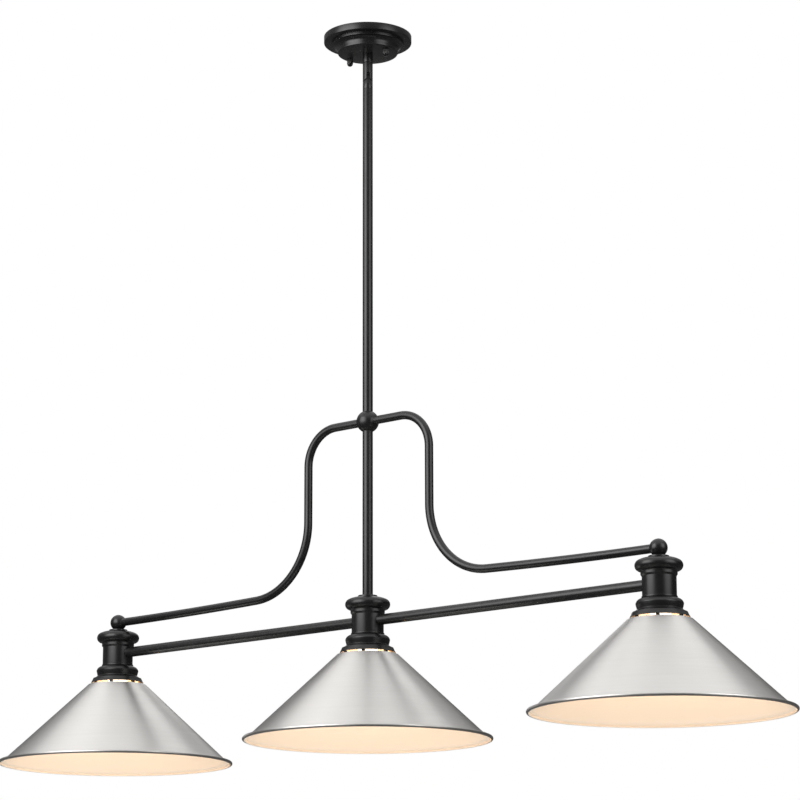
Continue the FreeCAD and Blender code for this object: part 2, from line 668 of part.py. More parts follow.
def make_bar_studs():
    """Short lamp tubes that join the bars to the housings."""
    start = BAR_NUT_SEAT - BAR_NUT_T
    length = HOUSING_R + BAR_STUD_DEPTH - start
    studs = []
    for x, side in bar_ends():
        way = vec(side, 0, 0)
        foot = vec(x + side * start, 0, BAR_Z)
        stud = rod_along(way, THREAD_R, foot, length)
        studs.append(stud.cut(rod_along(way, BORE_R, foot, length)))
    return Part.makeCompound(studs)


def make_bar_nuts():
    """Thin hexagon nuts inside the housings."""
    nuts = []
    for x, side in bar_ends():
        nut = hex_nut(NUT_AF, THREAD_R + FIT, -BAR_NUT_T, 0)
        nut.rotate(vec(0, 0, 0), vec(0, 1, 0), 90 * side)
        nuts.append(moved(nut, x + side * BAR_NUT_SEAT, 0, BAR_Z))
    return Part.makeCompound(nuts)


# Lamp heads, built on the centre axis and moved along X

def make_washer():
    return tube(WASHER_R, THREAD_R + SLIP, HOUSING_TOP_Z, WASHER_TOP_Z)


def make_head_tube(name):
    """Lamp tube from the socket's cap up into the rod's foot or the end ball."""
    top = WASHER_TOP_Z + HEAD_TUBE_GRIP if name == "centre" else END_BALL_Z - END_TUBE_STOP
    return tube(THREAD_R, BORE_R, SOCKET_TOP_Z - SOCKET_GRIP, top)


def make_lock_nut():
    return hex_nut(NUT_AF, THREAD_R + FIT, LOCK_NUT_Z, LOCK_NUT_Z + NUT_T)


def make_housing(head_x):
    """Cup with a round flange at its top and a spigot at its foot."""
    foot = HOLDER_TOP_Z
    end = foot - SPIGOT_DEPTH
    edge_r = FLANGE_R - FLANGE_ROUND
    body = turned((0, HOUSING_TOP_Z), (WASHER_R, HOUSING_TOP_Z), (edge_r, CROWN_Z, CROWN_ROUND),
                  (edge_r, FLANGE_Z, FLANGE_ROUND), (BAND_R + FLARE_OUT, FLARE_Z + FLARE_H),
                  (BAND_R, FLARE_Z), (BAND_R, BAND_Z), (HOUSING_R, CONE_Z), (HOUSING_R, foot),
                  (SPIGOT_R, foot), (SPIGOT_R, end), (0, end))
    body = body.cut(cylinder(HOUSING_BORE_R, end - OVERCUT, HOUSING_TOP_Z - HOUSING_TOP_T))
    body = body.cut(cylinder(THREAD_R + SLIP, foot, HOUSING_TOP_Z + OVERCUT))
    for x, side in bar_ends():
        if x == head_x:
            body = body.cut(rod_along(vec(side, 0, 0), THREAD_R + SLIP, vec(0, 0, BAR_Z),
                                      2 * HOUSING_R))
    return body


def make_holder():
    """Turned ring and bell with a recessed seat for the vent collar."""
    top = HOLDER_TOP_Z
    top_r = HOUSING_R + HOLDER_TOP_OUT
    groove_z = top - HOLDER_TOP_H - GROOVE_H
    edge_z = groove_z - RING_EDGE_H
    ring_r = HOUSING_R + RING_OUT
    ring_z = top - RING_DROP
    waist_r = HOUSING_R + WAIST_OUT
    waist_z = ring_z - WAIST_DROP
    bell_r = VENT_R + BELL_OUT
    lip_r = VENT_R + LIP_OUT
    lip_z = VENT_RING_Z - LIP_HANG
    recess_r = VENT_R + SLIP
    recess_z = VENT_RING_Z + RECESS_RISE
    bore_r = HOUSING_BORE_R + HOLDER_BORE_OUT
    stop = top - SPIGOT_DEPTH
    ledge = stop - HOLDER_LEDGE_T
    return turned(
        (SPIGOT_R + FIT, top), (top_r, top), (top_r, top - HOLDER_TOP_H),
        (top_r - GROOVE_D, groove_z), (top_r + GROOVE_D, edge_z), (ring_r, ring_z, RING_ROUND),
        (ring_r - RING_FOOT_IN, ring_z - RING_FOOT_H), (waist_r, waist_z),
        (bell_r - BELL_SHOULDER, waist_z - BELL_DROP, -BELL_COVE), (bell_r, SEAT_Z - BELL_FOOT),
        (lip_r - LIP_EDGE, lip_z + LIP_T), (lip_r, lip_z + LIP_T - LIP_EDGE), (lip_r, lip_z),
        (lip_r - LIP_FOOT_W, lip_z), (recess_r + RECESS_EDGE, recess_z), (recess_r, recess_z),
        (recess_r, SEAT_Z), (bore_r, SEAT_Z), (bore_r, ledge), (HOUSING_BORE_R, ledge),
        (HOUSING_BORE_R, stop), (SPIGOT_R + FIT, stop))


def make_vent_collar():
    """Ring on posts: light and warm air leave between the posts."""
    base = SHADE_TOP_Z
    ring_in = VENT_R - VENT_WALL
    neck_in = NECK_R - NECK_WALL
    body = turned((ring_in, SEAT_Z), (VENT_R, SEAT_Z), (VENT_R, base), (NECK_R, base),
                  (NECK_R, base - NECK_L), (neck_in, base - NECK_L), (neck_in, WINDOW_Z),
                  (ring_in, WINDOW_Z))
    window = tube(VENT_R + OVERCUT, ring_in - OVERCUT, WINDOW_Z, VENT_RING_Z)
    post = Part.makeBox(2 * VENT_R, VENT_POST_W, VENT_WINDOW_H, vec(0, -VENT_POST_W / 2, WINDOW_Z))
    for i in range(VENT_POSTS):
        window = window.cut(turned_copy(post, 360 * i / VENT_POSTS))
    return body.cut(window)


def make_ring_nut():
    """Notched ring that clamps the shade to the vent collar from inside."""
    top = SHADE_TOP_Z - SHADE_T
    foot = top - RING_NUT_T
    ring = tube(RING_NUT_R, NECK_R + FIT, foot, top)
    notch = Part.makeBox(NOTCH_D + OVERCUT, NOTCH_W, RING_NUT_T,
                         vec(RING_NUT_R - NOTCH_D, -NOTCH_W / 2, foot))
    for i in range(RING_NUT_NOTCHES):
        ring = ring.cut(turned_copy(notch, 360 * (i + 0.5) / RING_NUT_NOTCHES))
    return ring


def make_shade():
    """Spun cone with a flat top, a flared lip and a rolled bead."""
    hole_r = NECK_R + SLIP
    lip_r = SHADE_R - SHADE_LIP_IN
    lip_z = RIM_Z + SHADE_LIP_RISE
    bead_r = SHADE_R - BEAD_R
    bead_z = RIM_Z + BEAD_R
    slope = math.atan2(SHADE_TOP_Z - lip_z, lip_r - SHADE_TOP_R)
    turn_r = SHADE_TOP_R - SHADE_SHOULDER_R * math.tan(slope / 2)
    turn_z = SHADE_TOP_Z - SHADE_SHOULDER_R
    out_x = math.sin(slope)
    out_z = math.cos(slope)
    inner_r = SHADE_SHOULDER_R - SHADE_T
    sag = 1 - math.cos(slope / 2)
    skin = turned(
        (hole_r, SHADE_TOP_Z), (turn_r, SHADE_TOP_Z),
        (turn_r + SHADE_SHOULDER_R * out_x, turn_z + SHADE_SHOULDER_R * out_z,
         SHADE_SHOULDER_R * sag),
        (lip_r, lip_z), (bead_r, bead_z + SHADE_T / 2), (bead_r, bead_z - SHADE_T / 2),
        (lip_r - SHADE_T * out_x, lip_z - SHADE_T * out_z),
        (turn_r + inner_r * out_x, turn_z + inner_r * out_z),
        (turn_r, SHADE_TOP_Z - SHADE_T, -inner_r * sag), (hole_r, SHADE_TOP_Z - SHADE_T))
    bead = Part.makeTorus(bead_r, BEAD_R, vec(0, 0, bead_z))
    return skin.fuse(bead).removeSplitter()


def make_socket():
    """Insulating socket body with a tapped cap."""
    top = SOCKET_TOP_Z
    cap_end = top - SOCKET_CAP_H
    body = turned((0, top), (SOCKET_CAP_R - SOCKET_CAP_EDGE, top),
                  (SOCKET_CAP_R, top - SOCKET_CAP_EDGE), (SOCKET_CAP_R, cap_end),
                  (SOCKET_R, cap_end - SOCKET_SHOULDER_H), (SOCKET_R, SOCKET_END_Z),
                  (SOCKET_CAVITY_R, SOCKET_END_Z), (SOCKET_CAVITY_R, SOCKET_FLOOR_Z),
                  (0, SOCKET_FLOOR_Z))
    tap_end = top - SOCKET_GRIP - SOCKET_GRIP_SPARE
    return body.cut(cylinder(THREAD_R + FIT, tap_end, top + OVERCUT))


def rolled_profile(radius, wave, turns, z_top, z_low):
    """Points down a rolled thread that is drawn as even rings."""
    step = (z_top - z_low) / (2 * turns)
    return [(radius - (wave if i % 2 else 0), z_top - i * step) for i in range(2 * turns + 1)]


def make_screw_shell():
    """Thin threaded shell that lines the socket."""
    low = SOCKET_END_Z + SHELL_SHORT
    outer = rolled_profile(SHELL_R, SHELL_WAVE, SHELL_TURNS, SOCKET_FLOOR_Z, low)
    inner = rolled_profile(SHELL_R - SHELL_T, SHELL_WAVE, SHELL_TURNS, SOCKET_FLOOR_Z, low)
    return turned(*outer, *inner[::-1])


def make_centre_contact():
    """Disc with a dished tongue that meets the lamp's tip."""
    top = SOCKET_FLOOR_Z
    foot = top - CONTACT_L
    return turned((0, top), (CONTACT_R, top), (CONTACT_R, top - CONTACT_T),
                  (CONTACT_FOOT_R, top - CONTACT_T), (CONTACT_TIP_R, foot), (0, foot))


def make_lamp_base():
    """Screw base with an insulating cone and a tip."""
    thread = rolled_profile(LAMP_BASE_R, LAMP_BASE_WAVE, LAMP_BASE_TURNS, LAMP_CONE_Z, LAMP_RIM_Z)
    return turned((0, LAMP_TIP_Z), (LAMP_TIP_FLAT_R, LAMP_TIP_Z),
                  (LAMP_TIP_R, LAMP_TIP_Z - LAMP_TIP_DOME_H),
                  (LAMP_CONE_R, LAMP_CONE_Z + LAMP_CONE_H), *thread, (0, LAMP_RIM_Z))


def lamp_form(inset):
    """The envelope's form, drawn in by the glass thickness for the hollow."""
    angle = math.radians(LAMP_ARC_DEG)
    drop = (1 - math.cos(angle))
    sweep_r = (LAMP_R * math.cos(angle) - LAMP_NECK_R) / drop
    neck_z = LAMP_RIM_Z - LAMP_NECK_H
    centre_z = neck_z - (LAMP_R + sweep_r) * math.sin(angle)
    ball = LAMP_R - inset
    join = (ball * math.cos(angle), centre_z + ball * math.sin(angle))
    top = LAMP_RIM_Z - inset
    globe_sag = ball * (1 - math.cos((math.pi / 2 + angle) / 2))
    sweep_sag = (sweep_r + inset) * (1 - math.cos(angle / 2))
    return turned((0, top), (LAMP_BASE_R - inset, top), (LAMP_NECK_R - inset, neck_z),
                  (*join, -sweep_sag), (0, centre_z - ball, globe_sag))


def make_lamp_glass():
    """Hollow frosted envelope."""
    return lamp_form(0).cut(lamp_form(LAMP_GLASS_T))


def head_pieces(name, head_x):
    """Every piece that one lamp head has of its own."""
    return {
        "housing": make_housing(head_x),
        "head_tube": make_head_tube(name),
        "holder": make_holder(),
        "vent_collar": make_vent_collar(),
        "ring_nut": make_ring_nut(),
        "shade": make_shade(),
        "socket": make_socket(),
        "screw_shell": make_screw_shell(),
        "centre_contact": make_centre_contact(),
        "lamp_base": make_lamp_base(),
        "lamp_glass": make_lamp_glass(),
    }


def all_pieces():
    pieces = {
        "crossbar": make_crossbar(),
        "ground_screw": make_ground_screw(),
        "canopy_studs": make_canopy_studs(),
        "stud_nuts": make_stud_nuts(),
        "canopy": make_canopy(),
        "cap_nuts": make_cap_nuts(),
        "canopy_washer": make_canopy_washer(),
        "canopy_nut": make_canopy_nut(),
        "canopy_tube": make_canopy_tube(),
        "stem_collar": make_stem_collar(),
        "swivel_barrel": make_swivel_barrel(),
        "swivel_bush": make_swivel_bush(),
        "swivel_pin": make_swivel_pin(),
        "swivel_tongue": make_swivel_tongue(),
        "upper_rod": make_upper_rod(),
        "lower_rod": make_lower_rod(),
        "centre_ball": make_centre_ball(),
        "left_end_ball": make_end_ball(-1),
        "right_end_ball": make_end_ball(1),
        "left_arm": make_arm(-1),
        "right_arm": make_arm(1),
        "left_bar": make_bar(-1),
        "right_bar": make_bar(1),
        "bar_studs": make_bar_studs(),
        "bar_nuts": make_bar_nuts(),
        "head_washers": at_heads(make_washer()),
        "head_lock_nuts": at_heads(make_lock_nut()),
    }
    for name, head_x in zip(HEAD_NAMES, HEAD_XS):
        for piece, shape in head_pieces(name, head_x).items():
            pieces[name + "_" + piece] = moved(shape, head_x)
    return pieces


os.makedirs("parts", exist_ok=True)
for node, shape in all_pieces().items():
    shape.exportStep("parts/" + node + ".step")
    print(node, len(shape.Solids), round(shape.Volume, 1), shape.isValid())
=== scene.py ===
"""Linear island pendant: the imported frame, dressed with fine meshes, finishes and a studio."""

import logging
import math
from dataclasses import dataclass
from enum import Enum
from typing import Callable, Sequence

import bmesh
import bpy
from mathutils import Matrix, Vector


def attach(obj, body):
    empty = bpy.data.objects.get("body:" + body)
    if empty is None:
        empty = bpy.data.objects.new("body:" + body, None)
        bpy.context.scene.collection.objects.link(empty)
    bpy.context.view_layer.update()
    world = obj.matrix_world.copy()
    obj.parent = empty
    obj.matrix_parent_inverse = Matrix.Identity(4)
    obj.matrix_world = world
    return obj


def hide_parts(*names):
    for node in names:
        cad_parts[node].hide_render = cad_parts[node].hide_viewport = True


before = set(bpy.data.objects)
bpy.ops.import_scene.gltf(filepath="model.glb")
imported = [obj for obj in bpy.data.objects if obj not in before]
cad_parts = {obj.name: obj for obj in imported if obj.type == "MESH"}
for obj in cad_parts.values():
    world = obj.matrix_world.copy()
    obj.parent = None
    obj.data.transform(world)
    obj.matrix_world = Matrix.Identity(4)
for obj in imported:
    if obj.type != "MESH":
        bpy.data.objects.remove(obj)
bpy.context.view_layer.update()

MM = 0.001
RIM_Z = -1054.0
HEAD_PITCH = 505.0
SMOOTH_ANGLE = math.radians(32)
BEVEL_ANGLE = math.radians(40)
WHITE = (1.0, 1.0, 1.0, 1.0)
Colour = tuple[float, float, float]
Corner = tuple[float, float, float, int]
log = logging.getLogger("pendant")


class Body(Enum):
    """The bodies that the pieces ride on."""

    CANOPY = "canopy"
    SWIVEL = "swivel"
    FIXTURE = "fixture"


class Slot(Enum):
    """The record's material slots of the new pieces."""

    BLACK = "black_metal"
    NICKEL = "nickel_shade"
    ZINC = "zinc_steel"
    GLASS = "lamp_glass"


class Cut(Enum):
    """What a cutter does to a piece."""

    KEEP = "INTERSECT"
    REMOVE = "DIFFERENCE"
    JOIN = "UNION"


# Outlines and meshes, in millimetres


class Outline:
    """A closed outline of (radius, height) corners, each with its own softness and skin.

    The skin of a corner is the material slot of the run that ends at it.
    """

    STEPS = 4

    def __init__(self, radius: float, height: float, soft: float = 0.0, skin: int = 0) -> None:
        """Start the outline.

        Args:
            radius: Distance of the first corner from the axis.
            height: Height of the first corner.
            soft: Radius that rounds the corner.
            skin: Material slot of the closing run and of those that follow.
        """
        self.skin = skin
        self.corners: list[Corner] = [(radius, height, soft, skin)]

    def to(self, radius: float, height: float, soft: float = 0.0) -> "Outline":
        """Run straight to a corner.

        Args:
            radius: Distance of the corner from the axis.
            height: Height of the corner.
            soft: Radius that rounds the corner.

        Returns:
            The outline itself, so that calls can be chained.
        """
        self.corners.append((radius, height, soft, self.skin))
        return self

    def paint(self, skin: int) -> "Outline":
        """Choose the material slot of the runs that follow, and return the outline."""
        self.skin = skin
        return self

    def arc(self, radius: float, height: float, sag: float, steps: int = 12,
            soft: float = 0.0) -> "Outline":
        """Run along an arc that stands out of its chord to the left of the way.

        Args:
            radius: Distance of the arc's end from the axis.
            height: Height of the arc's end.
            sag: How far the arc stands out of its chord; below zero is to the right.
            steps: Number of straight runs that draw the arc.
            soft: Radius that rounds the arc's end.

        Returns:
            The outline itself.
        """
        ax, az = self.corners[-1][:2]
        chord = math.hypot(radius - ax, height - az)
        left_x = (az - height) / chord
        left_z = (radius - ax) / chord
        bend = (chord * chord / 4 + sag * sag) / (2 * sag)
        cx = (ax + radius) / 2 + left_x * (sag - bend)
        cz = (az + height) / 2 + left_z * (sag - bend)
        half = math.asin(min(1.0, chord / 2 / abs(bend)))
        if abs(sag) > abs(bend):
            half = math.pi - half
        first = math.atan2(az - cz, ax - cx)
        turn = -math.copysign(2 * half, sag)
        for i in range(1, steps):
            angle = first + turn * i / steps
            self.to(cx + abs(bend) * math.cos(angle), cz + abs(bend) * math.sin(angle))
        return self.to(radius, height, soft)

    def circle(self, centre: tuple[float, float], radius: float, first: float, last: float,
               steps: int) -> "Outline":
        """Run along part of a circle.

        Args:
            centre: Centre of the circle as (radius, height).
            radius: The circle's own radius.
            first: Angle of the first point in degrees.
            last: Angle of the last point in degrees.
            steps: Number of straight runs.

        Returns:
            The outline itself.
        """
        for i in range(steps + 1):
            angle = math.radians(first + (last - first) * i / steps)
            self.to(centre[0] + radius * math.cos(angle), centre[1] + radius * math.sin(angle))
        return self

    def points(self) -> list[tuple[float, float, int]]:
        """Round the soft corners.

        Returns:
            The outline's points as (radius, height, skin of the run that ends there).
        """
        out = []
        count = len(self.corners)
        for i, (radius, height, soft, skin) in enumerate(self.corners):
            here = Vector((radius, height))
            before = Vector(self.corners[i - 1][:2]) - here
            after = Vector(self.corners[(i + 1) % count][:2]) - here
            if soft <= 0 or before.length < 1e-6 or after.length < 1e-6:
                out.append((radius, height, skin))
                continue
            opening = before.angle(after)
            reach = min(soft / math.tan(opening / 2), 0.45 * before.length, 0.45 * after.length)
            a = here + before.normalized() * reach
            b = here + after.normalized() * reach
            for k in range(self.STEPS + 1):
                t = k / self.STEPS
                point = a * (1 - t) ** 2 + here * (2 * t * (1 - t)) + b * t * t
                out.append((point.x, point.y, skin))
        return out


class Shell:
    """Vertices and faces that become one mesh object."""

    def __init__(self) -> None:
        """Start with nothing in it."""
        self.vertices: list[Vector] = []
        self.faces: list[tuple[int, ...]] = []
        self.skins: list[int] = []

    def lathe(self, outline: Outline, segments: int, x: float = 0.0,
              shape: Callable[[float, float, float], float] | None = None) -> "Shell":
        """Turn a closed outline about an upright axis.

        Args:
            outline: The outline to turn.
            segments: Number of steps round the axis.
            x: Where the axis stands along X.
            shape: Gives the radius from (radius, height, angle) where it varies round the axis.

        Returns:
            The shell itself.
        """
        points = outline.points()
        first = len(self.vertices)
        count = len(points)
        for s in range(segments):
            angle = 2 * math.pi * s / segments
            for radius, height, _ in points:
                r = shape(radius, height, angle) if shape else radius
                self.vertices.append(Vector((x + r * math.cos(angle), r * math.sin(angle), height)))
        for s in range(segments):
            here = first + s * count
            there = first + (s + 1) % segments * count
            for i in range(count):
                k = (i + 1) % count
                if points[i][0] < 1e-6 and points[k][0] < 1e-6:
                    continue
                self.faces.append((here + i, here + k, there + k, there + i))
                self.skins.append(points[k][2])
        return self

    def loft(self, rings: Sequence[Sequence[Vector]], skin: int = 0) -> "Shell":
        """Join rings of the same number of points and close both ends.

        Args:
            rings: The rings from one end to the other.
            skin: Material slot of the faces.

        Returns:
            The shell itself.
        """
        first = len(self.vertices)
        count = len(rings[0])
        for ring in rings:
            self.vertices.extend(ring)
        for s in range(len(rings) - 1):
            for i in range(count):
                k = (i + 1) % count
                a = first + s * count
                self.faces.append((a + i, a + k, a + count + k, a + count + i))
        last = first + (len(rings) - 1) * count
        self.faces.append(tuple(range(first + count - 1, first - 1, -1)))
        self.faces.append(tuple(range(last, last + count)))
        self.skins.extend([skin] * ((len(rings) - 1) * count + 2))
        return self

    def build(self, name: str, at: tuple[float, float, float] = (0.0, 0.0, 0.0),
              turn: float = 0.0) -> bpy.types.Object:
        """Make the mesh object.

        Args:
            name: The piece's name.
            at: Where the object's origin stands; the vertices are measured from it.
            turn: Turn about the upright axis in degrees.

        Returns:
            The new object, in metres.
        """
        mesh = bpy.data.meshes.new(name)
        mesh.from_pydata([v * MM for v in self.vertices], [], self.faces)
        for face, skin in zip(mesh.polygons, self.skins):
            face.material_index = skin
        form = bmesh.new()
        form.from_mesh(mesh)
        bmesh.ops.remove_doubles(form, verts=form.verts, dist=1e-7)
        bmesh.ops.recalc_face_normals(form, faces=form.faces)
        form.to_mesh(mesh)
        form.free()
        smooth(mesh)
        piece = bpy.data.objects.new(name, mesh)
        piece.matrix_world = (Matrix.Translation(Vector(at) * MM)
                              @ Matrix.Rotation(math.radians(turn), 4, "Z"))
        bpy.context.scene.collection.objects.link(piece)
        return piece


def smooth(mesh: bpy.types.Mesh) -> None:
    """Shade a mesh smooth except across its sharp edges."""
    mesh.polygons.foreach_set("use_smooth", [True] * len(mesh.polygons))
    mesh.set_sharp_from_angle(angle=SMOOTH_ANGLE)


def carve(piece: bpy.types.Object, cuts: Sequence[tuple[Cut, bpy.types.Object]],
          bevel: float) -> None:
    """Apply boolean cuts to a piece, soften its edges and remove the cutters.

    Args:
        piece: The object that is shaped.
        cuts: Pairs of what is done and the cutter that does it.
        bevel: Width of the softened edges.
    """
    for cut, cutter in cuts:
        step = piece.modifiers.new("cut", "BOOLEAN")
        step.operation = cut.value
        step.object = cutter
        step.solver = "EXACT"
    edge = piece.modifiers.new("edge", "BEVEL")
    edge.width = bevel * MM
    edge.segments = 2
    edge.limit_method = "ANGLE"
    edge.angle_limit = BEVEL_ANGLE
    edge.use_clamp_overlap = True
    bpy.context.view_layer.update()
    depsgraph = bpy.context.evaluated_depsgraph_get()
    shaped = bpy.data.meshes.new_from_object(piece.evaluated_get(depsgraph))
    piece.modifiers.clear()
    old = piece.data
    piece.data = shaped
    shaped.name = piece.name
    bpy.data.meshes.remove(old)
    smooth(shaped)
    for _, cutter in cuts:
        bpy.data.objects.remove(cutter)


def block(name: str, outline: Sequence[tuple[float, float]], half: float,
          turn: float) -> bpy.types.Object:
    """Make a prism from an outline in the YZ plane, long along X and turned about Z.

    Args:
        name: Name of the object.
        outline: Corners as (y, z).
        half: Half of the length along X.
        turn: Turn about the upright axis in degrees.

    Returns:
        The new object.
    """
    rings = [[Vector((side * half, y, z)) for y, z in outline] for side in (-1, 1)]
    return Shell().loft(rings).build(name, turn=turn)


def settle(piece: bpy.types.Object, body: Body, slot: Slot, skins: Sequence[bpy.types.Material],
           *nodes: str) -> bpy.types.Object:
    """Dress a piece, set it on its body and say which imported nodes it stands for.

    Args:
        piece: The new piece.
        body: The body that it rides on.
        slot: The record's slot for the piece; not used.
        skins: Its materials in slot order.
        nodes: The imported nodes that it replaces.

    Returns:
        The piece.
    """
    for skin in skins:
        piece.data.materials.append(skin)
    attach(piece, body.value)
    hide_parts(*nodes)
    log.info("%s rides on %s in place of %s", piece.name, body.value, ", ".join(nodes))
    return piece


# Shader nodes


class Graph:
    """A node tree with short calls for adding and joining nodes."""

    def __init__(self, tree: bpy.types.NodeTree) -> None:
        """Work on the given tree."""
        self.tree = tree

    def add(self, kind: str, **settings: object) -> bpy.types.Node:
        """Add a node.

        Args:
            kind: The node's type without its ShaderNode prefix.
            settings: Properties of the node, or values of its inputs by name.

        Returns:
            The new node.
        """
        prefix = "" if kind.startswith("NodeGroup") else "ShaderNode"
        node = self.tree.nodes.new(prefix + kind)
        for key, value in settings.items():
            if hasattr(node, key):
                setattr(node, key, value)
            else:
                self.feed(node.inputs[key.replace("_", " ").title()], value)
        return node

    def feed(self, socket: bpy.types.NodeSocket, value: object) -> None:
        """Set a socket's value, or link an output to it.

        Args:
            socket: The input.
            value: A plain value or an output.
        """
        if isinstance(value, bpy.types.NodeSocket):
            self.tree.links.new(value, socket)
        else:
            socket.default_value = value

    def maths(self, operation: str, *values: object) -> bpy.types.NodeSocket:
        """Add a Math node.

        Args:
            operation: The node's operation.
            values: Numbers or sockets for its inputs.

        Returns:
            The node's output.
        """
        node = self.add("Math", operation=operation)
        for socket, value in zip(node.inputs, values):
            self.feed(socket, value)
        return node.outputs[0]

    def spread(self, value: bpy.types.NodeSocket, low: float, high: float, to_low: float,
               to_high: float) -> bpy.types.NodeSocket:
        """Map a value from one range onto another, clamped.

        Args:
            value: The varying value.
            low: Value that gives to_low.
            high: Value that gives to_high.
            to_low: Result at low.
            to_high: Result at high.

        Returns:
            The mapped value.
        """
        node = self.add("MapRange")
        for socket, number in zip(node.inputs, (value, low, high, to_low, to_high)):
            self.feed(socket, number)
        return node.outputs[0]

    def blend(self, share: object, a: object, b: object) -> bpy.types.NodeSocket:
        """Mix two colours.

        Args:
            share: How much of b there is.
            a: First colour.
            b: Second colour.

        Returns:
            The mixed colour.
        """
        node = self.add("Mix", data_type="RGBA")
        self.feed(node.inputs[0], share)
        self.feed(node.inputs[6], a)
        self.feed(node.inputs[7], b)
        return node.outputs[2]

    def noise(self, vector: bpy.types.NodeSocket, scale: object, detail: float = 2.0,
              ) -> bpy.types.NodeSocket:
        """Add a noise texture.

        Args:
            vector: Where it is read.
            scale: Cells per metre.
            detail: Number of finer layers.

        Returns:
            Its value.
        """
        node = self.add("TexNoise")
        self.feed(node.inputs["Vector"], vector)
        self.feed(node.inputs["Scale"], scale)
        self.feed(node.inputs["Detail"], detail)
        return node.outputs[0]

    def place(self) -> bpy.types.NodeSocket:
        """Return the object's own coordinates."""
        return self.add("TexCoord").outputs["Object"]


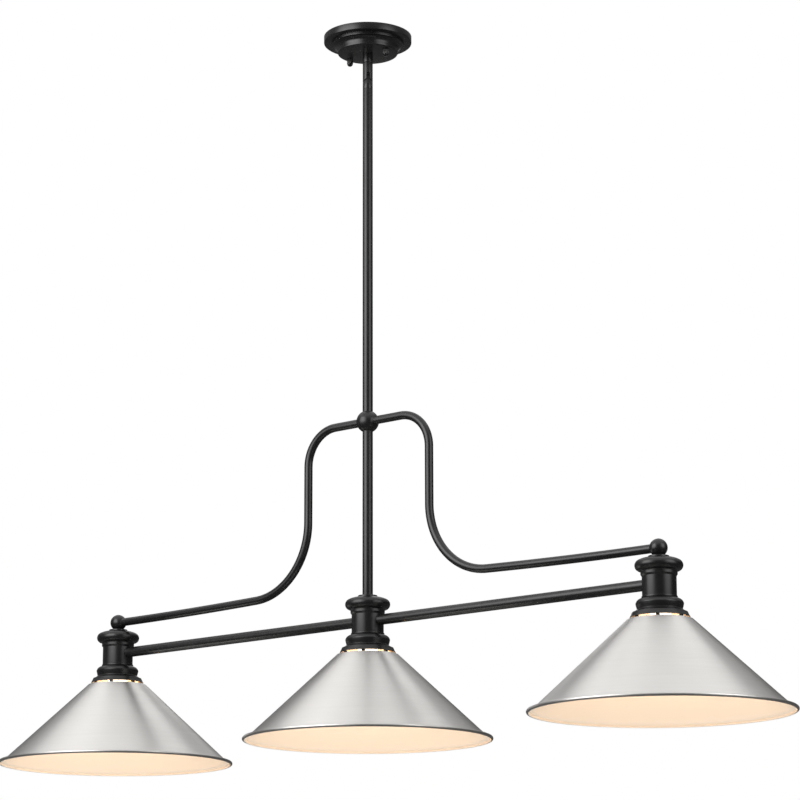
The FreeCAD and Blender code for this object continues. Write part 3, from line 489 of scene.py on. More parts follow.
class Effects:
    """Surface effects that several finishes share, each built once as a node group."""

    def __init__(self) -> None:
        """Build every group."""
        self.grain = self.build_grain()
        self.lines = self.build_lines()
        self.soil = self.build_soil()
        self.wear = self.build_wear()

    @staticmethod
    def start(name: str, inputs: dict[str, float], outputs: Sequence[str],
              ) -> tuple[Graph, bpy.types.Node, bpy.types.Node]:
        """Start a group with its sockets, which all carry numbers.

        Args:
            name: The group's name.
            inputs: Inputs with their usual values.
            outputs: Names of the outputs.

        Returns:
            The group's graph, its input node and its output node.
        """
        group = bpy.data.node_groups.new(name, "ShaderNodeTree")
        number = "NodeSocketFloat"
        for label, value in inputs.items():
            socket = group.interface.new_socket(name=label, in_out="INPUT", socket_type=number)
            socket.default_value = value
        for label in outputs:
            group.interface.new_socket(name=label, in_out="OUTPUT", socket_type=number)
        graph = Graph(group)
        return graph, graph.add("NodeGroupInput"), graph.add("NodeGroupOutput")

    def build_grain(self) -> bpy.types.NodeTree:
        """Make the group for the fine pebble of a sprayed coat.

        Returns:
            The group: Scale in; Height and Mask out.
        """
        graph, given, out = self.start("coat_grain", {"Scale": 1800.0}, ("Height", "Mask"))
        place = graph.place()
        fine = graph.noise(place, given.outputs["Scale"], 3.0)
        broad = graph.noise(place, graph.maths("MULTIPLY", given.outputs["Scale"], 0.02), 3.0)
        graph.feed(out.inputs["Height"], fine)
        graph.feed(out.inputs["Mask"], graph.spread(broad, 0.3, 0.7, 0.0, 1.0))
        return graph.tree

    def build_lines(self) -> bpy.types.NodeTree:
        """Make the group for the rings that a lathe leaves round the object's axis.

        Returns:
            The group: Lines per metre and Wander in; Height, Streaks and Bands out.
        """
        graph, given, out = self.start("turned_lines", {"Lines": 2400.0, "Wander": 1.5},
                                       ("Height", "Streaks", "Bands"))
        place = graph.add("SeparateXYZ")
        graph.feed(place.inputs[0], graph.place())
        x, y, z = place.outputs
        radius = graph.maths("SQRT", graph.maths("ADD", graph.maths("MULTIPLY", x, x),
                                                 graph.maths("MULTIPLY", y, y)))
        angle = graph.maths("ARCTAN2", y, x)
        east = graph.maths("MULTIPLY", graph.maths("COSINE", angle), given.outputs["Wander"])
        north = graph.maths("MULTIPLY", graph.maths("SINE", angle), given.outputs["Wander"])
        heights = []
        for share in (1.0, 0.22, 0.05):
            pitch = graph.maths("MULTIPLY", given.outputs["Lines"], share)
            spot = graph.add("CombineXYZ")
            graph.feed(spot.inputs[0], graph.maths("MULTIPLY", radius, pitch))
            graph.feed(spot.inputs[1], graph.maths("MULTIPLY", z, pitch))
            graph.feed(spot.inputs[2], east)
            node = graph.add("TexNoise", noise_dimensions="4D")
            graph.feed(node.inputs["Vector"], spot.outputs[0])
            graph.feed(node.inputs["W"], north)
            graph.feed(node.inputs["Scale"], 1.0)
            graph.feed(node.inputs["Detail"], 2.0)
            heights.append(node.outputs[0])
        graph.feed(out.inputs["Height"], heights[0])
        graph.feed(out.inputs["Streaks"], graph.spread(heights[1], 0.3, 0.7, 0.0, 1.0))
        graph.feed(out.inputs["Bands"], graph.spread(heights[2], 0.3, 0.7, 0.0, 1.0))
        return graph.tree

    def build_soil(self) -> bpy.types.NodeTree:
        """Make the group for finger marks, and for dust on faces that look up.

        Returns:
            The group: Scale in; Marks and Dust out.
        """
        graph, given, out = self.start("handling", {"Scale": 22.0}, ("Marks", "Dust"))
        place = graph.place()
        broad = graph.noise(place, given.outputs["Scale"], 4.0)
        speck = graph.noise(place, graph.maths("MULTIPLY", given.outputs["Scale"], 60.0), 2.0)
        normal = graph.add("SeparateXYZ")
        graph.feed(normal.inputs[0], graph.add("NewGeometry").outputs["Normal"])
        level = graph.spread(normal.outputs[2], 0.45, 1.0, 0.0, 1.0)
        flecks = graph.spread(speck, 0.52, 0.7, 0.25, 1.0)
        graph.feed(out.inputs["Marks"], graph.spread(broad, 0.42, 0.68, 0.0, 1.0))
        graph.feed(out.inputs["Dust"], graph.maths("MULTIPLY", level, flecks))
        return graph.tree

    def build_wear(self) -> bpy.types.NodeTree:
        """Make the group for edges, where a finish is rubbed thin and where the black coats take a
        painted highlight.

        Returns:
            The group: Reach and Scale in; Wear out.
        """
        graph, given, out = self.start("edge_wear_and_glint", {"Reach": 0.06, "Scale": 90.0}, ("Wear",))
        sharp = graph.add("NewGeometry").outputs["Pointiness"]
        rise = graph.maths("DIVIDE", graph.maths("SUBTRACT", sharp, 0.5), given.outputs["Reach"])
        rise = graph.spread(rise, 0.15, 1.0, 0.0, 1.0)
        patchy = graph.spread(graph.noise(graph.place(), given.outputs["Scale"], 4.0),
                              0.35, 0.65, 0.2, 1.0)
        graph.feed(out.inputs["Wear"], graph.maths("MULTIPLY", rise, patchy))
        return graph.tree


@dataclass(frozen=True)
class Finish:
    """What every finish has: a name, a colour and how rough it is."""

    name: str
    colour: Colour
    roughness: float

    def start(self) -> tuple[bpy.types.Material, Graph, bpy.types.Node]:
        """Start a material.

        Returns:
            The material, its graph and its shader.
        """
        material = bpy.data.materials.new(self.name)
        material.use_nodes = True
        graph = Graph(material.node_tree)
        shader = material.node_tree.nodes["Principled BSDF"]
        shader.inputs["Base Color"].default_value = (*self.colour, 1.0)
        shader.inputs["Roughness"].default_value = self.roughness
        return material, graph, shader

    @staticmethod
    def group(graph: Graph, tree: bpy.types.NodeTree, **values: float) -> bpy.types.Node:
        """Place a shared group in a material with its own values.

        Args:
            graph: The material's graph.
            tree: The group.
            values: Values of the group's inputs by name.

        Returns:
            The group's node.
        """
        node = graph.add("Group")
        node.node_tree = tree
        for key, value in values.items():
            node.inputs[key].default_value = value
        return node

    @staticmethod
    def bump(graph: Graph, shader: bpy.types.Node, height: bpy.types.NodeSocket,
             depth: float) -> None:
        """Raise the surface by a height.

        Args:
            graph: The material's graph.
            shader: The shader whose normal is bumped.
            height: The height from 0 to 1.
            depth: Depth of the relief in millimetres.
        """
        node = graph.add("Bump")
        node.inputs["Strength"].default_value = 1.0
        node.inputs["Distance"].default_value = depth * MM
        graph.feed(node.inputs["Height"], height)
        graph.feed(shader.inputs["Normal"], node.outputs[0])


@dataclass(frozen=True)
class SprayedCoat(Finish):
    """A sprayed or fired coat: fine pebble, pale edges, marks and dust; the pale edges are worn
    paint, and on the black coats also a painted highlight.
    """

    # Edge colour along the edge mask: worn paint, and on the black coats a painted highlight as
    # well.
    edge: Colour = (0.09, 0.088, 0.085)
    dust: Colour = (0.35, 0.33, 0.3)
    dust_share: float = 0.03
    wear_and_glint_share: float = 0.35
    specular: float = 0.5
    grain_scale: float = 1800.0
    grain_depth: float = 0.012
    uneven: float = 0.03
    coat: float = 0.0
    coat_roughness: float = 0.15

    def make(self, effects: Effects) -> bpy.types.Material:
        """Build the material.

        Args:
            effects: The shared node groups.

        Returns:
            The material.
        """
        material, graph, shader = self.start()
        grain = self.group(graph, effects.grain, Scale=self.grain_scale)
        soil = self.group(graph, effects.soil, Scale=24.0)
        wear = self.group(graph, effects.wear, Reach=0.07, Scale=140.0)
        # The edge colour blended in here paints worn edges, and on the black coats a painted
        # highlight.
        worn_and_glint = graph.maths("MULTIPLY", wear.outputs["Wear"], self.wear_and_glint_share)
        colour = graph.blend(worn_and_glint, (*self.colour, 1.0), (*self.edge, 1.0))
        dusty = graph.maths("MULTIPLY", soil.outputs["Dust"], self.dust_share)
        colour = graph.blend(dusty, colour, (*self.dust, 1.0))
        graph.feed(shader.inputs["Base Color"], colour)
        rough = graph.spread(grain.outputs["Mask"], 0.0, 1.0, self.roughness - self.uneven,
                             self.roughness + self.uneven)
        marked = graph.maths("MULTIPLY", soil.outputs["Marks"], 0.05)
        graph.feed(shader.inputs["Roughness"], graph.maths("ADD", rough, marked))
        shader.inputs["Specular IOR Level"].default_value = self.specular
        shader.inputs["Coat Weight"].default_value = self.coat
        shader.inputs["Coat Roughness"].default_value = self.coat_roughness
        self.bump(graph, shader, grain.outputs["Height"], self.grain_depth)
        return material


@dataclass(frozen=True)
class SpunMetal(Finish):
    """Bare metal with the rings of a lathe or a brush round its axis."""

    tint: Colour = (0.7, 0.68, 0.66)
    lines: float = 2400.0
    depth: float = 0.003
    streak: float = 0.06
    anisotropy: float = 0.0
    metallic: float = 1.0

    def make(self, effects: Effects) -> bpy.types.Material:
        """Build the material.

        Args:
            effects: The shared node groups.

        Returns:
            The material.
        """
        material, graph, shader = self.start()
        rings = self.group(graph, effects.lines, Lines=self.lines, Wander=1.4)
        soil = self.group(graph, effects.soil, Scale=16.0)
        share = graph.maths("ADD", graph.maths("MULTIPLY", rings.outputs["Streaks"], 0.55),
                            graph.maths("MULTIPLY", rings.outputs["Bands"], 0.45))
        graph.feed(shader.inputs["Base Color"],
                   graph.blend(share, (*self.colour, 1.0), (*self.tint, 1.0)))
        rough = graph.spread(share, 0.0, 1.0, self.roughness - self.streak,
                             self.roughness + self.streak)
        marked = graph.maths("MULTIPLY", soil.outputs["Marks"], 0.04)
        graph.feed(shader.inputs["Roughness"], graph.maths("ADD", rough, marked))
        shader.inputs["Metallic"].default_value = self.metallic
        if self.anisotropy > 0:
            shader.inputs["Anisotropic"].default_value = self.anisotropy
            shader.inputs["Anisotropic Rotation"].default_value = 0.25
            tangent = graph.add("Tangent", direction_type="RADIAL", axis="Z")
            graph.feed(shader.inputs["Tangent"], tangent.outputs[0])
        self.bump(graph, shader, rings.outputs["Height"], self.depth)
        return material


@dataclass(frozen=True)
class PlatedSteel(Finish):
    """Zinc plated steel with a faint crystal pattern."""

    tint: Colour = (0.5, 0.51, 0.53)
    rubbed: Colour = (0.74, 0.74, 0.73)
    cells: float = 260.0
    depth: float = 0.006
    metallic: float = 0.92

    def make(self, effects: Effects) -> bpy.types.Material:
        """Build the material.

        Args:
            effects: The shared node groups.

        Returns:
            The material.
        """
        material, graph, shader = self.start()
        cells = graph.add("TexVoronoi")
        graph.feed(cells.inputs["Vector"], graph.place())
        cells.inputs["Scale"].default_value = self.cells
        grain = self.group(graph, effects.grain, Scale=1200.0)
        wear = self.group(graph, effects.wear, Reach=0.08, Scale=60.0)
        shade = graph.spread(cells.outputs["Distance"], 0.0, 0.8, 0.0, 1.0)
        colour = graph.blend(shade, (*self.colour, 1.0), (*self.tint, 1.0))
        graph.feed(shader.inputs["Base Color"],
                   graph.blend(wear.outputs["Wear"], colour, (*self.rubbed, 1.0)))
        graph.feed(shader.inputs["Roughness"],
                   graph.spread(grain.outputs["Mask"], 0.0, 1.0, self.roughness - 0.06,
                                self.roughness + 0.08))
        shader.inputs["Metallic"].default_value = self.metallic
        self.bump(graph, shader, grain.outputs["Height"], self.depth)
        return material


@dataclass(frozen=True)
class FrostedLamp(Finish):
    """Etched lamp glass, lit from within."""

    glow: Colour = (1.0, 0.8, 0.56)
    strength: float = 1.8
    depth: float = 0.01

    def make(self, effects: Effects) -> bpy.types.Material:
        """Build the material.

        Args:
            effects: The shared node groups.

        Returns:
            The material.
        """
        material, graph, shader = self.start()
        grain = self.group(graph, effects.grain, Scale=900.0)
        pale = tuple(0.5 + 0.5 * c for c in self.glow)
        graph.feed(shader.inputs["Emission Color"],
                   graph.blend(grain.outputs["Mask"], (*self.glow, 1.0), (*pale, 1.0)))
        shader.inputs["Emission Strength"].default_value = self.strength
        graph.feed(shader.inputs["Roughness"],
                   graph.spread(grain.outputs["Mask"], 0.0, 1.0, self.roughness - 0.05,
                                self.roughness + 0.05))
        self.bump(graph, shader, grain.outputs["Height"], self.depth)
        return material


class Finishes:
    """Every finish on the light, made once."""

    def __init__(self) -> None:
        """Make all materials."""
        effects = Effects()
        # The satin coat's edge colour, a shade paler, is edge wear together with a painted
        # highlight along the edges.
        self.black = SprayedCoat("satin_black_coat", (0.005, 0.005, 0.005), 0.28,
                                 edge=(0.03, 0.03, 0.029), wear_and_glint_share=0.3, dust_share=0.01,
                                 grain_scale=1600.0, grain_depth=0.0012,
                                 specular=0.6).make(effects)
        # The cap nuts' pale edge colour, laid on heavily, is a painted highlight: it stands for the
        # glints on the knurls.
        self.gloss = SprayedCoat("glossy_black_coat", (0.006, 0.006, 0.006), 0.14,
                                 edge=(0.16, 0.16, 0.155), wear_and_glint_share=0.7, dust_share=0.01,
                                 grain_depth=0.001).make(effects)
        self.nickel = SpunMetal("spun_nickel", (0.8, 0.784, 0.762), 0.36, (0.765, 0.75, 0.728),
                                depth=0.002, streak=0.03, anisotropy=0.6).make(effects)
        # The lining's peach tint is partly its cream colour and partly painted warm lamp light.
        self.enamel = SprayedCoat("cream_enamel_painted_warm_light", (0.89, 0.735, 0.575), 0.42,
                                  edge=(0.8, 0.68, 0.55), wear_and_glint_share=0.1, dust_share=0.02,
                                  grain_scale=1200.0, grain_depth=0.008).make(effects)
        self.zinc = PlatedSteel("zinc_plated_steel", (0.62, 0.63, 0.64), 0.36).make(effects)
        self.brass = SpunMetal("turned_brass", (0.8, 0.6, 0.28), 0.28, (0.7, 0.5, 0.21),
                               lines=3000.0).make(effects)
        self.green = SprayedCoat("green_screw_paint", (0.02, 0.2, 0.06), 0.35,
                                 edge=(0.4, 0.45, 0.38), wear_and_glint_share=0.6).make(effects)
        self.ceramic = SprayedCoat("glazed_ceramic", (0.82, 0.8, 0.76), 0.25,
                                   edge=(0.7, 0.68, 0.64), wear_and_glint_share=0.2, coat=0.4,
                                   grain_scale=500.0, grain_depth=0.01).make(effects)
        self.aluminium = SpunMetal("rolled_aluminium", (0.76, 0.76, 0.75), 0.34,
                                   (0.68, 0.68, 0.67)).make(effects)
        self.glass = FrostedLamp("frosted_lamp_glass", (0.9, 0.88, 0.84), 0.5).make(effects)


# The ceiling side


@dataclass
class CeilingSide:
    """Canopy, cap nuts and collar."""

    finishes: Finishes
    rim_r: float = 65.5
    step_r: float = 54.0
    wall_r: float = 45.0
    side_h: float = 10.4
    step_z: float = -14.2
    floor_z: float = -27.0
    sheet: float = 1.2
    cove_r: float = 8.0
    floor_soft: float = 2.8
    hole_r: float = 5.05
    stud_x: float = 35.0
    nut_r: float = 4.25
    tooth: float = 0.35
    teeth: int = 22
    nut_hole: float = 2.1
    nut_bore: float = 6.5
    nut_z: float = -35.5
    dome: float = 3.0
    collar_r: float = 7.5
    collar_bore: float = 5.0
    collar_z: float = -41.0

    def build(self) -> None:
        """Build and dress the pieces that stay still on the ceiling."""
        skin = [self.finishes.black]
        settle(self.canopy(), Body.CANOPY, Slot.BLACK, skin, "canopy")
        settle(self.cap_nuts(), Body.CANOPY, Slot.BLACK, [self.finishes.gloss], "cap_nuts")
        settle(self.collar(), Body.CANOPY, Slot.BLACK, skin, "stem_collar")

    def canopy(self) -> bpy.types.Object:
        """Turn the canopy's cover.

        Returns:
            The piece.
        """
        bulge = 1 - math.sqrt(0.5)
        t = self.sheet
        inner_cove = self.cove_r + t
        side_z = -self.side_h
        outline = Outline(self.rim_r, 0.0, 0.25)
        outline.to(self.rim_r, side_z, 1.0).to(self.step_r, side_z, 0.35)
        outline.to(self.step_r, self.step_z, 0.55).to(self.wall_r + self.cove_r, self.step_z)
        outline.arc(self.wall_r, self.step_z - self.cove_r, -bulge * self.cove_r, 14)
        outline.to(self.wall_r, self.floor_z, self.floor_soft).to(self.hole_r, self.floor_z)
        outline.to(self.hole_r, self.floor_z + t).to(self.wall_r - t, self.floor_z + t, 1.3)
        outline.to(self.wall_r - t, self.step_z + t - inner_cove)
        outline.arc(self.wall_r - t + inner_cove, self.step_z + t, bulge * inner_cove, 14)
        outline.to(self.step_r - t, self.step_z + t, 0.2).to(self.step_r - t, side_z + t, 0.3)
        outline.to(self.rim_r - t, side_z + t, 0.4).to(self.rim_r - t, 0.0, 0.25)
        return Shell().lathe(outline, 192).build("canopy_cover")

    def cap_nuts(self) -> bpy.types.Object:
        """Turn both knurled cap nuts.

        Returns:
            The piece.
        """
        tip = self.nut_r + self.tooth

        def knurl(radius: float, _height: float, angle: float) -> float:
            """Cut the teeth: the outline draws them at their tips.

            Args:
                radius: Radius on the outline.
                _height: Height on the outline, which changes nothing.
                angle: Angle round the nut's axis.

            Returns:
                The radius at that angle.
            """
            if radius < self.nut_r + 0.05:
                return radius
            wave = abs((angle * self.teeth / math.tau) % 1 - 0.5) * 2
            return self.nut_r + (radius - self.nut_r) * min(1.0, 1.6 * wave)

        nuts = Shell()
        for side in (-1, 1):
            outline = Outline(self.nut_hole, self.floor_z)
            outline.to(self.nut_r, self.floor_z, 0.3).to(self.nut_r, self.floor_z - 1.0)
            outline.to(tip, self.floor_z - 1.4).to(tip, self.nut_z + 1.4)
            outline.to(self.nut_r, self.nut_z + 1.0).to(self.nut_r, self.nut_z, 0.3)
            sphere = (self.nut_r ** 2 + self.dome ** 2) / (2 * self.dome)
            half = math.asin(self.nut_r / sphere) / 2
            outline.arc(0.0, self.nut_z - self.dome, sphere * (1 - math.cos(half)), 10)
            outline.to(0.0, self.floor_z - self.nut_bore)
            outline.to(self.nut_hole, self.floor_z - self.nut_bore)
            nuts.lathe(outline, self.teeth * 8, side * self.stud_x, knurl)
        return nuts.build("canopy_cap_nuts")

    def collar(self) -> bpy.types.Object:
        """Turn the threaded collar under the canopy.

        Returns:
            The piece.
        """
        outline = Outline(self.collar_bore, self.floor_z)
        outline.to(self.collar_r, self.floor_z, 0.3).to(self.collar_r, self.collar_z, 0.35)
        outline.to(self.collar_bore, self.collar_z, 0.2)
        return Shell().lathe(outline, 96).build("stem_collar_cover")


# The knuckle


@dataclass
class Knuckle:
    """Hang-straight knuckle: a forked barrel, a cross pin and a tongue."""

    finishes: Finishes
    turn: float = 45.0
    rod_r: float = 7.5
    top_z: float = -41.3
    bore_r: float = 6.0
    bore_z: float = -49.55
    slot_z: float = -57.55
    pin_z: float = -63.55
    foot_z: float = -82.45
    ear_r: float = 7.8
    shoulder_r: float = 8.9
    tongue_r: float = 5.1
    slot_w: float = 5.0
    tongue_w: float = 4.6
    pin_r: float = 1.6
    pin_tip: float = 0.3
    spigot_r: float = 6.1
    spigot_h: float = 9.0
    edge: float = 0.28
    reach: float = 12.0

    def build(self) -> None:
        """Build and dress the three visible pieces of the knuckle."""
        skin = [self.finishes.black]
        settle(self.barrel(), Body.SWIVEL, Slot.BLACK, skin, "swivel_barrel")
        settle(self.pin(), Body.SWIVEL, Slot.ZINC, [self.finishes.zinc], "swivel_pin")
        settle(self.tongue(), Body.FIXTURE, Slot.BLACK, skin, "swivel_tongue")

    def hanging_arch(self, radius: float, top: float, steps: int = 40) -> list[tuple[float, float]]:
        """Draw a slab that ends in a half round under the pin.

        Args:
            radius: Half of the slab's width, and radius of its lower end.
            top: Height of its straight upper end.
            steps: Number of runs that draw the half round.

        Returns:
            The corners as (y, z).
        """
        low = [(radius * math.cos(a), self.pin_z + radius * math.sin(a))
               for a in (math.pi + math.pi * i / steps for i in range(steps + 1))]
        return [(-radius, top), *low, (radius, top)]

    def cross_bar(self, name: str, radius: float) -> bpy.types.Object:
        """Make a round cutter along the pin's axis.

        Args:
            name: Name of the object.
            radius: The cutter's radius.

        Returns:
            The cutter.
        """
        circle = [(radius * math.cos(a), self.pin_z + radius * math.sin(a))
                  for a in (math.tau * i / 48 for i in range(48))]
        return block(name, circle, self.reach, self.turn)

    def barrel(self) -> bpy.types.Object:
        """Shape the upper half: a turned barrel with a fork of two rounded ears.

        Returns:
            The piece.
        """
        low = self.pin_z - self.ear_r
        outline = Outline(self.bore_r, self.top_z)
        outline.to(self.rod_r, self.top_z, 0.3).to(self.rod_r, low - 0.5)
        outline.to(0.0, low - 0.5).to(0.0, self.bore_z).to(self.bore_r, self.bore_z)
        piece = Shell().lathe(outline, 96).build("knuckle_barrel", turn=self.turn)
        far = self.reach
        slot = [(-far, self.slot_z), (far, self.slot_z), (far, low - 2), (-far, low - 2)]
        arch = self.hanging_arch(self.ear_r, self.top_z + 2)
        cuts = [(Cut.KEEP, block("ear_form", arch, far, self.turn)),
                (Cut.REMOVE, block("slot_form", slot, self.slot_w / 2, self.turn)),
                (Cut.REMOVE, self.cross_bar("hole_form", self.pin_r + 0.03))]
        carve(piece, cuts, self.edge)
        return piece

    def tongue(self) -> bpy.types.Object:
        """Shape the lower half: a round tongue on a hollowed shoulder.

        Returns:
            The piece.
        """
        shank_top = self.pin_z - math.sqrt(self.shoulder_r ** 2 - self.rod_r ** 2)
        outline = Outline(0.0, shank_top)
        outline.to(self.rod_r, shank_top).to(self.rod_r, self.foot_z, 0.3)
        end_z = self.foot_z - self.spigot_h
        outline.to(self.spigot_r, self.foot_z).to(self.spigot_r, end_z).to(0.0, end_z)
        piece = Shell().lathe(outline, 96).build("knuckle_tongue", turn=self.turn)
        root = self.pin_z - self.shoulder_r - 1.0
        leaf = [(self.tongue_r * math.cos(a), self.pin_z + self.tongue_r * math.sin(a))
                for a in (math.pi * i / 32 for i in range(33))]
        leaf = [(self.tongue_r, root), *leaf, (-self.tongue_r, root)]
        cuts = [(Cut.REMOVE, self.cross_bar("shoulder_form", self.shoulder_r)),
                (Cut.JOIN, block("leaf_form", leaf, self.tongue_w / 2, self.turn)),
                (Cut.REMOVE, self.cross_bar("hole_form", self.pin_r + 0.05))]
        carve(piece, cuts, self.edge)
        return piece

    def pin(self) -> bpy.types.Object:
        """Make the cross pin with chamfered ends.

        Returns:
            The piece.
        """
        half = math.sqrt(self.rod_r ** 2 - self.pin_r ** 2) - 0.2
        tip = self.pin_tip
        rings = []
        for x, radius in ((-half, self.pin_r - tip), (-half + tip, self.pin_r),
                          (half - tip, self.pin_r), (half, self.pin_r - tip)):
            rings.append([Vector((x, radius * math.cos(a), self.pin_z + radius * math.sin(a)))
                          for a in (math.tau * i / 40 for i in range(40))])
        return Shell().loft(rings).build("knuckle_pin", turn=self.turn)


# Rods, balls, arms and bars


@dataclass
class Frame:
    """The stem's rods, the balls, the bent arms, the level bars and the head washers."""

    finishes: Finishes
    rod_r: float = 7.5
    rod_wall: float = 1.3
    rod_top: float = -82.45
    ball_z: float = RIM_Z + 463.0
    ball_r: float = 16.4
    rod_stop: float = 7.0
    end_ball_z: float = RIM_Z + 218.39
    end_ball_r: float = 12.3
    foot_r: float = 5.9
    arm_r: float = 6.1
    arm_start: float = 8.8
    arm_stop: float = 5.6
    drop_x: float = 114.5
    top_bend: float = 52.0
    low_bend: float = 105.0
    run_turn: float = 1.8
    bar_r: float = 7.6
    bar_z: float = RIM_Z + 170.6
    housing_r: float = 23.003
    washer_r: float = 14.0
    washer_hole: float = 5.05
    washer_z: float = RIM_Z + 205.0
    washer_top: float = RIM_Z + 207.6

    def build(self) -> None:
        """Build and dress every piece of the frame."""
        skin = [self.finishes.black]

        def own(piece: bpy.types.Object, node: str) -> None:
            """Set a black piece on the fixture in place of one node."""
            settle(piece, Body.FIXTURE, Slot.BLACK, skin, node)

        own(self.rod("stem_upper", self.ball_z + self.rod_stop, self.rod_top), "upper_rod")
        own(self.rod("stem_lower", self.washer_top, self.ball_z - self.rod_stop), "lower_rod")
        own(self.centre_ball(), "centre_ball")
        for side, name in ((-1, "left"), (1, "right")):
            own(self.end_ball(name, side), name + "_end_ball")
            own(self.arm(name, side), name + "_arm")
            own(self.bar(name, side), name + "_bar")
        own(self.washers(), "head_washers")

    def rod(self, name: str, low: float, top: float) -> bpy.types.Object:
        """Turn a straight tube of the stem.

        Args:
            name: The piece's name.
            low: Height of its lower end.
            top: Height of its upper end.

        Returns:
            The piece.
        """
        bore = self.rod_r - self.rod_wall
        outline = Outline(bore, top).to(self.rod_r, top, 0.3).to(self.rod_r, low, 0.3)
        outline.to(bore, low)
        return Shell().lathe(outline, 96).build(name)

    def centre_ball(self) -> bpy.types.Object:
        """Turn the ball that takes both rods and both arms.

        Returns:
            The piece.
        """
        hole = self.rod_r + 0.05
        first = math.degrees(math.acos((hole + 0.35) / self.ball_r))
        rise = math.sqrt(self.ball_r ** 2 - hole ** 2)
        outline = Outline(hole, self.ball_z + rise - 0.5)
        outline.circle((0.0, self.ball_z), self.ball_r, first, -first, 56)
        outline.to(hole, self.ball_z - rise + 0.5)
        return Shell().lathe(outline, 128).build("ball_centre")

    def end_ball(self, name: str, side: int) -> bpy.types.Object:
        """Turn an outer ball with its flat foot.

        Args:
            name: Which end.
            side: Minus one for left and one for right.

        Returns:
            The piece.
        """
        foot = math.degrees(math.acos(self.foot_r / self.end_ball_r))
        outline = Outline(0.0, self.washer_top)
        outline.circle((0.0, self.end_ball_z), self.end_ball_r, -foot, 90.0, 48)
        shell = Shell().lathe(outline, 96)
        return shell.build("ball_" + name, (side * HEAD_PITCH, 0.0, 0.0))

    def arm(self, name: str, side: int) -> bpy.types.Object:
        """Sweep a bent arm: level, down, and out in a long run that ends level.

        Args:
            name: Which arm.
            side: Minus one for left and one for right.

        Returns:
            The piece.
        """
        turn = math.radians(self.run_turn)
        x_end = HEAD_PITCH - self.arm_stop
        run = x_end - self.drop_x - self.low_bend * (1 - math.sin(turn))
        run_r = run / math.sin(turn)
        bend_z = self.end_ball_z + run * math.tan(turn / 2) + self.low_bend * math.cos(turn)
        way = [(self.arm_start, self.ball_z, 0.0)]
        for i in range(25):
            a = math.pi / 2 * i / 24
            way.append((self.drop_x - self.top_bend * (1 - math.sin(a)),
                        self.ball_z - self.top_bend * (1 - math.cos(a)), -a))
        for i in range(37):
            a = (math.pi / 2 - turn) * i / 36
            way.append((self.drop_x + self.low_bend * (1 - math.cos(a)),
                        bend_z - self.low_bend * math.sin(a), a - math.pi / 2))
        for i in range(1, 9):
            a = turn * (1 - i / 8)
            way.append((x_end - run_r * math.sin(a), self.end_ball_z + run_r * (1 - math.cos(a)),
                        -a))
        rings = []
        for x, z, slope in way:
            out_x = -math.sin(slope)
            out_z = math.cos(slope)
            ring = []
            for k in range(56):
                a = math.tau * k / 56
                lift = self.arm_r * math.cos(a)
                ring.append(Vector((side * (x + lift * out_x), self.arm_r * math.sin(a),
                                    z + lift * out_z)))
            rings.append(ring)
        return Shell().loft(rings).build("arm_" + name)

    def bar(self, name: str, side: int) -> bpy.types.Object:
        """Make a level bar with its ends hollowed to sit on the round housings.

        Args:
            name: Which bar.
            side: Minus one for left and one for right.

        Returns:
            The piece.
        """
        steps = [(-1.2, 0.4), (0.0, 0.4), (0.05, 0.3), (0.35, 0.0)]
        rings = []
        for outer_end in (False, True):
            for out, inset in steps[::-1] if outer_end else steps:
                ring = []
                for k in range(72):
                    a = math.tau * k / 72
                    radius = self.bar_r - inset
                    y = radius * math.cos(a)
                    x = math.sqrt(self.housing_r ** 2 - y * y) + out
                    if outer_end:
                        x = HEAD_PITCH - x
                    ring.append(Vector((side * x, y, self.bar_z + radius * math.sin(a))))
                rings.append(ring)
        return Shell().loft(rings).build("bar_" + name)

    def washers(self) -> bpy.types.Object:
        """Turn the thick washers on top of the three housings.

        Returns:
            The piece.
        """
        shell = Shell()
        for x in (-HEAD_PITCH, 0.0, HEAD_PITCH):
            outline = Outline(self.washer_hole, self.washer_top)
            outline.to(self.washer_r, self.washer_top, 0.7)
            outline.to(self.washer_r, self.washer_z, 0.3).to(self.washer_hole, self.washer_z)
            shell.lathe(outline, 96, x)
        return shell.build("washers_over_heads")


# Lamp heads


